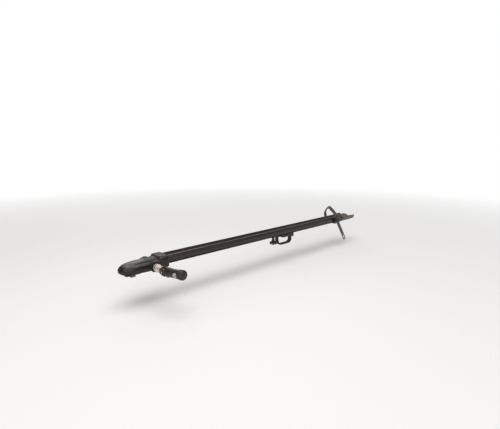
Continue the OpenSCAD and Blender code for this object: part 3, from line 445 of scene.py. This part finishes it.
leaf_half, leaf_middle, leaf_lift, leaf_edge = 0.0428, -0.059, 0.0005, 0.0016
bm = bmesh.new()
head_skin(bm, cover_stations[:-1] + head_stations[:6])
crown = scratch_object(bm, "crown_form")
bm = bmesh.new()
for v in bmesh.ops.create_grid(bm, x_segments=72, y_segments=28, size=1)["verts"]:
    along = v.co.x
    blunt, full = (3, 0.55) if along < 0 else (2, 0.8)
    width = 0.0205 * (1 - abs(along) ** blunt) ** full + 0.00015
    v.co = Vector((leaf_middle + along * leaf_half, v.co.y * width, 0.05))
leaf = scratch_object(bm, "leaf_form")
wrap = leaf.modifiers.new("lie_on_crown", "SHRINKWRAP")
wrap.target = crown
wrap.wrap_method = "PROJECT"
wrap.use_project_z = True
wrap.use_negative_direction = True
wrap.use_positive_direction = False
wrap.offset = 0.0
bpy.context.view_layer.update()
bm = bmesh.new()
bm.from_mesh(leaf.evaluated_get(bpy.context.evaluated_depsgraph_get()).to_mesh())
for spare in (leaf, crown):
    bpy.data.objects.remove(spare)
rim = [e for e in bm.edges if e.is_boundary]
bmesh.ops.translate(bm, verts=bm.verts, vec=(0, 0, leaf_lift))
drawn_on(bm, rim, lambda c: c - Vector((0, 0, leaf_edge)))
soften(bm, rim, 0.3)
pearl = finish("leaf_panel", (0.076, 0.059, 0.048), (0.108, 0.086, 0.071), 0.3, grain=2600,
               depth=0.00003, metal=0.2, coat=0.25, relief=0.3, patch=18, spread=0.04)
tree = pearl.node_tree
split = node(tree, "SeparateXYZ")
off_middle = node(tree, "Math")
off_middle.operation = "ABSOLUTE"
stripe = node(tree, "MapRange", From_Min=0.0042, From_Max=0.0047)
wire(tree, (node(tree, "TexCoord").outputs["Object"], split.inputs[0]),
     (split.outputs["Y"], off_middle.inputs[0]), (off_middle.outputs[0], stripe.inputs["Value"]))
overlay(pearl, stripe, gloss_dark, 0)
piece(bm, "leaf_panel_skin", "carrier", pearl, ["nose_insert"], crease=50)

# ---- Rivet of the nose
# One small bright rivet with a low dome sits in the very tip of the cover.
bm = bmesh.new()
turned(bm, [(-3, 0), (-3, 2.3), (0.15, 2.3), (0.2, 2.6), (0.5, 2.5), (0.85, 1.5), (0.95, 0)], "-X",
       (-110.6, 0, -0.84), 32)
plated = finish("bright_steel", (0.42, 0.415, 0.4), (0.56, 0.55, 0.53), 0.3, grain=1800,
                depth=0.00004, metal=1.0, relief=0.3, patch=60)
piece(bm, "nose_rivet_dome", "carrier", plated, ["nose_rivet"])

# ---- Cross tube and stub axles
# A satin aluminium tube runs through the bosses. A machined stub with a broad shoulder is pressed
# in each end, and the open fork ends drop on to its 9 mm journals.
bm = bmesh.new()
turned(bm, [(-45, 12.45), (45, 12.45), (45, 7.5), (-45, 7.5), (-45, 12.45)], steps=64)
tube_metal = finish("tube_metal", (0.36, 0.36, 0.365), (0.5, 0.5, 0.5), 0.36, grain=1400,
                    metal=1.0, stretch=(1, 0.08, 1), patch=80, relief=0.25)
piece(bm, "cross_tube", "carrier", tube_metal, ["axle_tube"])
bm = bmesh.new()
for axis in ("Y", "-Y"):
    turned(bm, [(30, 2.55), (30, 7.4), (44.6, 7.4), (45.05, 12.2), (45.4, 12.5), (49.4, 12.5),
                (50, 11.9), (50, 5.2), (50.4, 4.5), (54.5, 4.5), (55, 4.1), (55, 2.55), (30, 2.55)],
           axis, steps=56)
piece(bm, "journals", "carrier", plated, ["stub_axles"])

# ---- Skewer
# A steel rod with rolled thread at the far end and a forged eye at the near end, round the pin of
# the cam. The far nut is a flanged hexagon.
def eased(low, high, radius, bore=0, ease=0.4):
    """The profile of a pin, or of a tube where it has a bore, with eased ends."""
    line = [(low, bore), (low, radius - ease), (low + ease, radius), (high - ease, radius),
            (high, radius - ease), (high, bore)]
    return line + line[:1] if bore else line


def prism(bm, radii, depth, seat, sides=6, soft=0.5, steps=2):
    """A many-sided bar about its seat's Z, in millimetres, with eased edges."""
    made = bmesh.ops.create_cone(bm, cap_ends=True, segments=sides, radius1=radii[0] / 1000,
                                 radius2=radii[1] / 1000, depth=depth / 1000, matrix=seat)["verts"]
    soften(bm, edges_of(made), soft, steps)


cam_pin, rod_bore = (0, -104.9, 0), 2.56
bm = bmesh.new()
thread = [(68, 0), (68, 1.7)]
for k in range(17):
    thread += [(67.6 - k * 0.8, 2.5), (67.2 - k * 0.8, 2.15)]
turned(bm, thread + [(53.6, 2.5), (-98, 2.5), (-99.5, 3.4), (-100.5, 3.4), (-100.5, 0)], steps=32)
turned(bm, eased(-4, 4, 6, 3.05), "X", cam_pin, 40)
piece(bm, "rod_and_eye", "skewer", plated, ["skewer_rod"])
bm = bmesh.new()
turned(bm, eased(-12.3, 12.3, 3), "X", cam_pin, 32)
piece(bm, "cam_pin_ground", "skewer", plated, ["cam_pin"])

bm = bmesh.new()
prism(bm, (8.55, 8.55), 5.6,
      Matrix.Translation((0, 0.0637, 0)) @ Matrix.Rotation(math.pi / 2, 4, "X"))
turned(bm, [(57.5, 2.6), (57.5, 8.9), (58, 9.5), (60.4, 9.5), (61.1, 8.6), (61.3, 7), (61.3, 2.6)])
turned(bm, [(66.3, 4.1), (66.6, 3.6), (66.3, rod_bore), (60, rod_bore)], steps=32)
piece(bm, "far_nut", "skewer_nut", plated, ["skewer_nut"])

# ---- Collar of the cam
# A turned collar, polished and faintly copper-coloured, presses on the near fork end. Behind its
# broad face come a fine groove and a waist, and then a bronze rim that the cam slides on.
bm = bmesh.new()
turned(bm, [(57.5, rod_bore), (57.5, 12.2), (57.9, 13.1), (58.6, 13.5), (63.5, 13.5), (64, 13.2),
            (64.3, 12.7), (64.8, 12.7), (65.1, 13.1), (67, 13.2), (70.5, 11.6), (73, 10.8),
            (76.5, 10.5), (80, 10.5), (82.5, 10.9), (85, 12), (86.6, 13.1), (87.4, 13.5),
            (88.9, 13.5), (89.45, 13.1), (89.45, rod_bore), (57.5, rod_bore)], "-Y", steps=72)
champagne = finish("collar_metal", (0.7, 0.56, 0.48), (0.82, 0.69, 0.61), 0.22, grain=2200,
                   depth=0.00002, metal=0.6, relief=0.2, spread=0.05)
piece(bm, "collar_polished", "cam_collar", champagne, ["cam_collar"], crease=28)
bm = bmesh.new()
turned(bm, [(89.55, rod_bore), (89.55, 13.1), (89.9, 13.7), (90.3, 14), (90.8, 14), (91, 13.6),
            (91.2, 14), (91.9, 14), (92.3, 13.7), (92.5, 13.1), (92.5, rod_bore),
            (89.55, rod_bore)], "-Y", steps=72)
bronze = finish("rim_bronze", (0.3, 0.17, 0.075), (0.42, 0.26, 0.13), 0.3, depth=0.00004,
                metal=1.0, relief=0.3, patch=50)
piece(bm, "collar_rim_bronze", "cam_collar", bronze, ["collar_rim"], crease=28)

# ---- Cam lever
# The lever is one black moulding: a round cam between two cheeks on the pin, an eight-sided housing
# behind it, and a waisted handle that leans back and a little up.
lean_out = (Matrix.Translation(Vector(cam_pin) / 1000) @ Matrix.Rotation(math.radians(13), 4, "Z")
            @ Matrix.Rotation(math.radians(87), 4, "X"))
bm = bmesh.new()
for side, axis in ((-8.15, "-X"), (8.15, "X")):
    turned(bm, [(4.3, 3.05), (4.3, 11.8), (4.5, 12), (11, 12), (12, 11), (12, 3.05), (4.3, 3.05)],
           axis, (0, cam_pin[1], 1.2), 56)
    slab(bm, (side - 3.85, -119.9, -11), (side + 3.85, -104.9, 11), 1.2)
cheeks = set(bm.verts)
prism(bm, (17, 15.9), 9.7,
      Matrix.Translation((0, 0, 0.0192)) @ Matrix.Rotation(math.pi / 8, 4, "Z"), 8, 1.4, 3)
turned(bm, [(22, 0), (22, 15.6), (23.5, 15.5), (26, 14.9), (30, 14.5), (54, 14.5), (60, 14.8),
            (66, 15.3), (69.4, 15.4), (70, 15.3), (70, 0)], "Z", steps=64)
move_new(bm, cheeks, lean_out)
lever_black = finish("lever_plastic", (0.0105, 0.0092, 0.0085), (0.0175, 0.0155, 0.0142), 0.3,
                     grain=1400, depth=0.00008, coat=0.12, patch=45, relief=0.25, shine=0.36)
piece(bm, "lever_moulding", "cam_lever", lever_black, ["lever_body"], crease=40)

# ---- Grip of the lever
# A soft black rubber cap is moulded over the swollen end of the handle, with four shallow rings
# round it and a rounded end.
bm = bmesh.new()
grip = [(70.3, 14.3), (70.3, 15.6), (70.8, 15.9)]
for ring in (72, 75, 78, 81):
    grip += [(ring, 16.2), (ring + 0.5, 15.7), (ring + 1.2, 15.7), (ring + 1.7, 16.35)]
grip += [(84, 15.75), (86, 14.3), (87.6, 12.4), (88.8, 9.9), (89.6, 6.8), (89.9, 3.2), (90, 0)]
turned(bm, grip, "Z", steps=72)
bmesh.ops.transform(bm, matrix=lean_out, verts=bm.verts)
grip_rubber = finish("grip_rubber", (0.0115, 0.0105, 0.01), (0.019, 0.0175, 0.0165), 0.5,
                     grain=2400, depth=0.00014, patch=50)
piece(bm, "grip_cap", "cam_lever", grip_rubber, ["lever_grip"], crease=40)

# ---- Lock
# A bright steel ring is pressed into the waist of the handle on the head side. The barrel inside it
# has a key slot and turns a quarter to free the cam.
lock_seat = (lean_out @ Matrix.Translation((-0.0145, 0, 0.059))
             @ Matrix.Rotation(-math.pi / 2, 4, "Y"))
bm = bmesh.new()
turned(bm, [(-2, 5.65), (-2, 8), (0.3, 8), (0.7, 7.7), (0.8, 7.1), (0.8, 6.1), (0.5, 5.65),
            (-2, 5.65)], "Z", steps=56)
bmesh.ops.transform(bm, matrix=lock_seat, verts=bm.verts)
piece(bm, "lock_ring", "cam_lever", plated, ["lock_bezel"], crease=30)
key_half = 0.0007
bm = bmesh.new()
face_rim = edges_of(bmesh.ops.create_circle(bm, segments=48, radius=0.0055)["verts"])
key_way = bmesh.ops.create_circle(bm, segments=48, radius=0.003)["verts"]
for v in key_way:
    v.co.x = max(-key_half, min(key_half, v.co.x))
key_rim = edges_of(key_way)
bmesh.ops.bridge_loops(bm, edges=face_rim + key_rim)
for rim, deep in ((face_rim, 0.0165), (key_rim, 0.002)):
    bmesh.ops.contextual_create(bm, geom=drawn_on(bm, rim, lambda c: c - Vector((0, 0, deep))))
soften(bm, face_rim, 0.4)
bmesh.ops.transform(bm, matrix=lock_seat @ Matrix.Translation((0, 0, 0.0004)), verts=bm.verts)
piece(bm, "lock_core", "lock_barrel", plated, ["lock_barrel"], crease=30)

# ---- Screws of the cover
# Four small black screws with flat sunk heads hold the cover to the sole plate from below. Each
# head has a cross recess.
bm = bmesh.new()
for x in (-83, -57):
    for y in (-11.4, 11.4):
        turned(bm, [(-14.9, 0), (-14.9, 1), (-14.75, 3.4), (-14.4, 3.85), (-12.6, 3.85), (-12.6, 2),
                    (-3.5, 2), (-2.6, 1.2), (-2.6, 0)], "Z", (x, y, 0), 32)
        for long, wide in ((1.7, 0.4), (0.4, 1.7)):
            slab(bm, (x - long, y - wide, -15), (x + long, y + wide, -14.4), 0)
piece(bm, "cover_screw_set", "carrier", blackened, ["cover_screws"])

# ---- Bolts of the socket
# Two black socket-head bolts stand in counterbores of the crown and pin the channel in its socket.
# Each head is eased round its rim and has a hexagon socket.
bm = bmesh.new()
for x in (0.032, 0.046):
    before = set(bm.verts)
    rim, key = [edges_of(bmesh.ops.create_circle(bm, segments=sides, radius=radius)["verts"])
                for sides, radius in ((48, 0.0043), (6, 0.003))]
    bmesh.ops.bridge_loops(bm, edges=rim + key)
    bmesh.ops.contextual_create(bm, geom=drawn_on(bm, key, lambda c: c - Vector((0, 0, 0.002))))
    for spread, drop in ((1.16, 0.0005), (1, 0.0026), (0.6, 0), (1, 0.019)):
        rim = drawn_on(bm, rim, lambda c: Vector((c.x * spread, c.y * spread, c.z - drop)))
    bmesh.ops.contextual_create(bm, geom=rim)
    move_new(bm, before, Matrix.Translation((x, 0, 0.0277)))
piece(bm, "socket_bolts", "carrier", blackened, ["tray_bolts"])

# ---- Front pad
# A black rubber pad with cut corners lies between the sole and the bar. Fine ribs run across its
# underside for grip.
bm = bmesh.new()
pad_half = [(-95, 21), (-92, 24), (-48, 24), (-45, 21)]
drawn_out(bm, [(x, -y, -15.1) for x, y in pad_half] + [(x, y, -15.1) for x, y in pad_half[::-1]],
          (0, 0, -2.2))
soften(bm, list(bm.edges), 0.4)
for k in range(11):
    slab(bm, (-92.3 + 4.2 * k, -22.25, -18), (-89.7 + 4.2 * k, 22.25, -17), 0.4, 2)
pad_rubber = finish("pad_rubber", (0.016, 0.016, 0.016), (0.03, 0.029, 0.028), 0.68, grain=2600,
                    depth=0.0002, relief=0.5)
piece(bm, "front_pad_ribbed", "carrier", pad_rubber, ["front_pad"])

# ---- Bolts of the front bar
# Two zinc-plated bolts with broad flat heads hang below the pad, to slide in the slot of the bar.
# Flanged nuts inside the head draw them up.
bm = bmesh.new()
for y in (-16, 16):
    slab(bm, (-79, y - 6.5, -24), (-61, y + 6.5, -21), 0.7)
    turned(bm, [(-21.2, 0), (-21.2, 4), (-15, 4), (-14.6, 3.6)]
           + [(-14.2 + 0.5 * k, 3.6 if k % 2 else 4) for k in range(23)] + [(-2.3, 3.2), (-2, 0)],
           "Z", (-70, y, 0), 32)
zinc = finish("zinc", (0.3, 0.3, 0.29), (0.46, 0.455, 0.44), 0.36, depth=0.00004, metal=1.0,
              relief=0.3, patch=70)
piece(bm, "bar_bolts", "carrier", zinc, ["front_tee_bolts"])
bm = bmesh.new()
for y in (-16, 16):
    prism(bm, (7.2, 7.2), 4.8, Matrix.Translation((-0.07, y / 1000, -0.0055)))
    turned(bm, [(-8.95, 4.1), (-8.95, 7.6), (-8.5, 8), (-8.1, 7.7), (-7.6, 7), (-7.6, 4.1)], "Z",
           (-70, y, 0), 40)
piece(bm, "bar_nuts", "carrier", zinc, ["front_nuts"])

# ---- Rear saddle
# A black glass-filled moulding slides under the channel. One arm runs forward to the clamp bolt and
# a shorter one back to the hinge, where two ears hold the pin.
hinge, clamp_x = (713, 0, -22), 598
bm = bmesh.new()
slab(bm, (634, -24, -15.9), (696, 24, -5.9), 1.6, 4)
slab(bm, (582, -16, -9.7), (638, 16, -5.9), 0.9)
for y in (-14.5, -5, 4, 13.5):
    slab(bm, (616, y, -13.4), (637, y + 1.2, -9), 0.3, 2)
slab(bm, (692, -16, -15.9), (717.8, 16, -5.9), 1.2)
for axis, low, high in (("-Y", -15.9, -10.4), ("Y", 10.4, 15.9)):
    turned(bm, eased(10.4, 16, 5, 2.6), axis, hinge, 40)
    slab(bm, (708.2, low, -22), (717.8, high, -14))
saddle_mould = finish("clamp_plastic", (0.015, 0.0145, 0.014), (0.026, 0.025, 0.024), 0.5,
                      depth=0.00016, patch=45)
piece(bm, "saddle_moulding", "rear_clamp", saddle_mould, ["rear_saddle"])

# ---- Rear pad and its bolts
# A ribbed rubber pad lies between saddle and bar. Two flat-headed bolts pass through it up into the
# sliding nut, a steel strip with a neck that fits the channel's slot.
bm = bmesh.new()
slab(bm, (637, -24, -16.9), (693, 24, -16.05), 0.3, 2)
for k in range(11):
    slab(bm, (639 + 5 * k, -23.4, -17.95), (641.4 + 5 * k, 23.4, -16.6), 0.35, 2)
piece(bm, "rear_pad_ribbed", "rear_clamp", pad_rubber, ["rear_pad"])
bm = bmesh.new()
slab(bm, (582, -9.7, -2.7), (685.6, 9.7, 2.3))
slab(bm, (644.4, -4.2, -5.8), (685.6, 4.2, -2), 0.3, 2)
piece(bm, "sliding_nut", "rear_clamp", zinc, ["slide_nut"])
bm = bmesh.new()
for x in (649.5, 680.5):
    turned(bm, [(-17.8, 0), (-17.8, 5.2), (-17.4, 5.8), (-16.1, 5.8), (-16.1, 3), (1.8, 3),
                (2.3, 2.6), (2.3, 0)], "Z", (x, 0, 0), 40)
piece(bm, "saddle_bolt_pair", "rear_clamp", blackened, ["saddle_bolts"])

# ---- Clamp bolt and hinge pin
# The clamp bolt's hexagon head lies on the sliding nut and its threaded end hangs through the arm.
# The hinge pin is ground steel with eased ends.
bm = bmesh.new()
prism(bm, (6, 6), 4.4, Matrix.Translation((clamp_x / 1000, 0, 0.0045)))
turned(bm, [(-45.8, 0), (-45.8, 2.3)] + [(-45.3 + 0.5 * k, 2.6 if k % 2 else 3) for k in range(69)]
       + [(-10.8, 3), (2.4, 3), (2.4, 0)], "Z", (clamp_x, 0, 0), 32)
piece(bm, "clamp_bolt_threaded", "rear_clamp", plated, ["clamp_bolt"])
bm = bmesh.new()
turned(bm, eased(-16.3, 16.3, 2.5, ease=0.5), "Y", hinge, 32)
piece(bm, "hinge_pin", "rear_clamp", plated, ["strap_hinge_pin"])

# ---- Clamp strap
# A steel strap coated black bends from the hinge round under the bar and up to a tab on the bolt.
# A rubber liner is bonded inside it.
def swept(bm, path, outline, seat=Matrix.Identity(4)):
    """An outline (across, out of the curve) carried along a path in a plane, in millimetres."""
    before = set(bm.verts)
    spots = []
    for k, (p, q) in enumerate(path):
        a, b = path[max(k - 1, 0)], path[min(k + 1, len(path) - 1)]
        lean = math.atan2(b[1] - a[1], b[0] - a[0])
        spots.append(Matrix.Translation((p / 1000, 0, q / 1000)) @ Matrix.Rotation(-lean, 4, "Y"))
    face = bm.faces.new([bm.verts.new(spots[0] @ Vector((0, x / 1000, n / 1000)))
                         for x, n in outline])
    for now, then in zip(spots, spots[1:]):
        out = bmesh.ops.extrude_face_region(bm, geom=[face])["geom"]
        old, face = face, [g for g in out if isinstance(g, bmesh.types.BMFace)][0]
        bmesh.ops.transform(bm, matrix=then @ now.inverted(), verts=face.verts)
        if old.is_valid and now is not spots[0]:
            bmesh.ops.delete(bm, geom=[old], context="FACES_ONLY")
    move_new(bm, before, seat)


def flat(half, low, high, soft):
    """A flat band's cross-section with eased corners."""
    return [(-half + soft, low), (half - soft, low), (half, low + soft), (half, high - soft),
            (half - soft, high), (-half + soft, high), (-half, high - soft), (-half, low + soft)]


def arc(centre, radius, start, end, steps):
    """Points round a centre, from one angle to another."""
    return [(centre[0] + radius * math.cos(math.radians(start + (end - start) * k / steps)),
             centre[1] + radius * math.sin(math.radians(start + (end - start) * k / steps)))
            for k in range(steps + 1)]


bar_back, bar_front = (689, -34), (641, -34)
under_bar = (arc(bar_back, 19.6, 30, -90, 20) + arc(bar_front, 19.6, -90, -176, 16)
             + [(621.45, -28), (621.45, -20)] + arc((618.2, -14.6), 3.2, 0, 90, 6)
             + [(606, -11.35), (582.4, -11.35)])
bm = bmesh.new()
swept(bm, [(710.2, -24)] + under_bar, flat(9.9, -1.15, 1.15, 0.4))
turned(bm, eased(-9.9, 9.9, 4.5, 2.6, 0.3), "Y", hinge, 40)
coated = finish("coated_steel", (0.014, 0.014, 0.0145), (0.026, 0.025, 0.025), 0.42, grain=1700,
                depth=0.0001, metal=0.2, patch=50)
piece(bm, "clamp_band", "clamp_strap", coated, ["clamp_strap"])
bm = bmesh.new()
swept(bm, arc(bar_back, 17.3, 34, -90, 20) + arc(bar_front, 17.3, -90, -180, 16),
      flat(10, -0.95, 0.95, 0.3))
piece(bm, "band_liner", "clamp_strap", pad_rubber, ["strap_liner"])

# ---- Wing knob
# A four-lobed black knob with a flared stem turns on the clamp bolt, against a bright washer. A
# brass bush with the thread is moulded in.
bm = bmesh.new()
turned(bm, eased(-14.5, -12.9, 6, 3.06, 0.3), "Z", (clamp_x, 0, 0))
piece(bm, "knob_washer", "clamp_washer", plated, ["clamp_washer"])
bm = bmesh.new()
last = None
for z, wide, lobed in ((-14.8, 5.6, 0), (-15.1, 6, 0), (-22, 6.3, 0), (-28, 7, 0.02),
                       (-30.6, 8.4, 0.15), (-31.8, 11, 0.6), (-32.2, 13.4, 0.95), (-33, 15.4, 1),
                       (-34.4, 16, 1), (-42.6, 16, 1), (-44, 15.5, 1), (-44.8, 14, 1),
                       (-44.8, 7, 0), (-44.8, 4.8, 0), (-42, 4.7, 0), (-41.6, 3.4, 0)):
    ring = bmesh.ops.create_circle(bm, segments=96, radius=1)["verts"]
    for v in ring:
        angle = math.atan2(v.co.y, v.co.x)
        out = wide * (1 - lobed * 0.4 * (0.5 + 0.5 * math.cos(4 * angle)) ** 0.9)
        v.co = Vector((clamp_x + out * math.cos(angle), out * math.sin(angle), z)) / 1000
    loop = edges_of(ring)
    if last:
        bmesh.ops.bridge_loops(bm, edges=last + loop)
    else:
        bmesh.ops.contextual_create(bm, geom=loop)
    last = loop
bmesh.ops.contextual_create(bm, geom=last)
knob_black = finish("knob_plastic", (0.012, 0.0118, 0.0115), (0.021, 0.0205, 0.02), 0.4,
                    grain=1300, patch=45)
piece(bm, "four_lobe_knob", "wing_knob", knob_black, ["wing_knob"], crease=40)
bm = bmesh.new()
turned(bm, [(-38.3, 3.06), (-38.3, 3.9), (-38, 4.2), (-15, 4.2), (-14.8, 4), (-14.8, 3.06),
            (-38.3, 3.06)], "Z", (clamp_x, 0, 0), 40)
brass = finish("brass", (0.45, 0.3, 0.12), (0.58, 0.41, 0.19), 0.3, depth=0.00003, metal=1.0,
               relief=0.3, patch=60)
piece(bm, "brass_bush", "wing_knob", brass, ["knob_bush"])

# ---- Strap holder
# A dark moulded bridge slides along under the channel and hugs both flanks. Ears on the far
# side hold the strap's pin and ears on the near side hold the buckle.
def rims_of(verts):
    """The edges of the vertices that lie square to X."""
    return [e for e in edges_of(verts) if abs((e.verts[0].co - e.verts[1].co).x) < 0.0001]


lean_frame = Matrix.Translation((1.032, 0, 0.00689)) @ Matrix.Rotation(math.radians(-23), 4, "Y")
anchor, lever_pivot, pawl_pivot = (0, 38.3, 0), (0, -46.8, 26), (0, -40.8, 0)
bridge_half = [(23.9, -9.8), (33.2, -9.8), (33.8, -9.2), (33.8, 11.3), (33.2, 11.88),
               (29.85, 11.88), (29.85, 6.5), (29.4, 4.6), (24.4, -5.8)]
bm = bmesh.new()
drawn_out(bm, [(1015.2, y, z) for y, z in bridge_half + mirrored(bridge_half)], (33.6, 0, 0))
soften(bm, [e for e in rims_of(bm.verts) if e.calc_face_angle(0) > 0.5], 0.7, 3)
for pivot, apart, root, turn in ((anchor, 12.3, 33, -90), (pawl_pivot, 14.6, -33, 270)):
    ear = arc(pivot[1:], 4, 90, turn, 15) + [(root, -4), (root, 4)]
    for side in (-apart, apart):
        before = set(bm.verts)
        soften(bm, rims_of(drawn_out(bm, [(side - 2.4, y, z) for y, z in ear], (4.8, 0, 0))), 0.4)
        move_new(bm, before, lean_frame)
for x in (1021.8, 1042.2):
    for axis in ("-Y", "Y"):
        turned(bm, [(33.6, 0), (33.6, 3.4), (34, 3.1), (34, 0)], axis, (x, 0, 7.5), 32)
holder_dark = finish("holder_plastic", (0.034, 0.03, 0.028), (0.056, 0.049, 0.045), 0.42,
                     depth=0.00014)
piece(bm, "holder_bridge", "strap_holder", holder_dark, ["strap_holder"],
      crease=40)
bm = bmesh.new()
turned(bm, eased(-15.1, 15.1, 2), "X", anchor, 28)
bmesh.ops.transform(bm, matrix=lean_frame, verts=bm.verts)
piece(bm, "anchor_pin_ground", "strap_holder", plated, ["anchor_pin"])

# ---- Wheel strap
# A brown-grey moulded strap arches over the rim and runs down through the buckle. Its free end
# hangs back, stepped like a ladder, with a long finger hole near the round tip.
def smooth(points, steps=5):
    """A smooth line through the points."""
    line = []
    full = [points[0]] + points + [points[-1]]
    for a, b, c, d in zip(full, full[1:], full[2:], full[3:]):
        for t in [k / steps for k in range(steps)]:
            line.append(tuple(0.5 * (2 * q + (r - p) * t + (2 * p - 5 * q + 4 * r - s) * t * t
                                     + (3 * q - p - 3 * r + s) * t ** 3)
                              for p, q, r, s in zip(a, b, c, d)))
    return line + [points[-1]]


across = lean_frame @ Matrix.Rotation(math.pi / 2, 4, "Z")
over_rim = smooth([(36.4, 1.5), (34.6, 18), (32.1, 37.9), (22.3, 53)]
                  + arc((0, 61.9), 12.1, 24, 156, 14)
                  + [(-22.3, 53), (-32.1, 37.9), (-34.7, 26), (-35.2, 14.6), (-35.2, 2),
                     (-35.2, -9.8)])
bm = bmesh.new()
swept(bm, over_rim, flat(9.4, -1.05, 1.05, 0.5), across)
before = set(bm.verts)
turned(bm, eased(-9.4, 9.4, 4.2, 2.1), "X", anchor, 36)
for z in (-5, 0, 5, 10):
    slab(bm, (-6.5, -37.2, z), (6.5, -35.6, z + 2), 0.45, 2)
move_new(bm, before, lean_frame)
before = set(bm.verts)
tip, hole_top, thick = (0, -117.2), (0, -99.5), 1.05
edge_line = arc(tip, 9.4, 180, 360, 18) + [(9.4, -95), (9.4, 1), (-9.4, 1), (-9.4, -95)]
hole_line = arc(tip, 3.6, 180, 360, 15) + arc(hole_top, 3.6, 0, 180, 15)
sides = []
for y in (-thick, thick):
    loops = []
    for line in (edge_line, hole_line):
        spots = [bm.verts.new((x / 1000, y / 1000, z / 1000)) for x, z in line]
        loops.append([bm.edges.new(pair) for pair in zip(spots, spots[1:] + spots[:1])])
    bmesh.ops.triangle_fill(bm, use_beauty=True, edges=loops[0] + loops[1])
    sides.append(loops)
for near, far in zip(*sides):
    bmesh.ops.bridge_loops(bm, edges=near + far)
soften(bm, [e for loops in sides for loop in loops for e in loop if e.is_valid], 0.4)
for k in range(2, 16):
    slab(bm, (-6.4, -2.1, -k * 5), (6.4, -0.8, -k * 5 + 2), 0.4, 2)
move_new(bm, before, lean_frame @ Matrix.Translation((0, -0.0352, -0.01))
         @ Matrix.Rotation(math.radians(-11), 4, "Y"))
strap_rubber = finish("strap_plastic", (0.105, 0.085, 0.078), (0.145, 0.12, 0.11), 0.46,
                      grain=1700, depth=0.00016)
piece(bm, "ladder_strap", "strap_holder", strap_rubber, ["wheel_strap"],
      crease=40)

# ---- Rim sleeve
# A soft olive-grey sleeve is slid over the loop of the strap, so that the rim is not marked.
sleeve_foot = 38
bm = bmesh.new()
swept(bm, [spot for spot in over_rim if spot[1] > sleeve_foot], flat(9.7, -1.1, 2.3, 0.8), across)
sleeve_rubber = finish("sleeve_rubber", (0.05, 0.046, 0.038), (0.075, 0.07, 0.06), 0.6,
                       grain=1300, depth=0.0002, relief=0.5, patch=35)
piece(bm, "rim_sleeve", "strap_holder", sleeve_rubber, crease=40)

# ---- Buckle
# Two dark side plates carry a ratchet lever above and a small pawl below, each on a steel pin. The
# lever's thumb plate hangs in front of the strap.
plate = arc(lever_pivot[1:], 4, 13, 193, 15) + arc(pawl_pivot[1:], 4, 193, 373, 15)
bm = bmesh.new()
for side in (-10.8, 10.8):
    soften(bm, rims_of(drawn_out(bm, [(side - 0.95, y, z) for y, z in plate], (1.9, 0, 0))), 0.3)
bmesh.ops.transform(bm, matrix=lean_frame, verts=bm.verts)
buckle_dark = finish("buckle_plastic", (0.03, 0.026, 0.024), (0.052, 0.044, 0.041), 0.4,
                     depth=0.00014, patch=45)
piece(bm, "buckle_plates", "strap_holder", buckle_dark, ["buckle_base"])
bm = bmesh.new()
for half, pivot in ((17.3, pawl_pivot), (12.3, lever_pivot)):
    turned(bm, eased(-half, half, 2), "X", pivot, 28)
bmesh.ops.transform(bm, matrix=lean_frame, verts=bm.verts)
piece(bm, "buckle_pin_pair", "strap_holder", plated, ["buckle_pins"])

bm = bmesh.new()
turned(bm, eased(-9.1, 9.1, 4, 2.06), "X", lever_pivot, 40)
slab(bm, (-9.1, -50.7, -6.9), (9.1, -47.9, 28), 1.1)
slab(bm, (-9.1, -50.7, 24), (9.1, -48, 31.9), 0.9)
for k in range(4):
    slab(bm, (-7, -50.78, -4.6 + 3.4 * k), (7, -50, -3 + 3.4 * k), 0.3, 2)
bmesh.ops.transform(bm, matrix=lean_frame, verts=bm.verts)
piece(bm, "ratchet_lever", "buckle_lever", buckle_dark, ["buckle_lever"])
bm = bmesh.new()
turned(bm, eased(-9.1, 9.1, 3.2, 2.06, 0.3), "X", pawl_pivot, 36)
slab(bm, (-9.1, -43.9, 0.6), (9.1, -41.1, 8.9), 0.8)
bmesh.ops.transform(bm, matrix=lean_frame, verts=bm.verts)
piece(bm, "ratchet_pawl", "buckle_pawl", buckle_dark, ["buckle_pawl"])
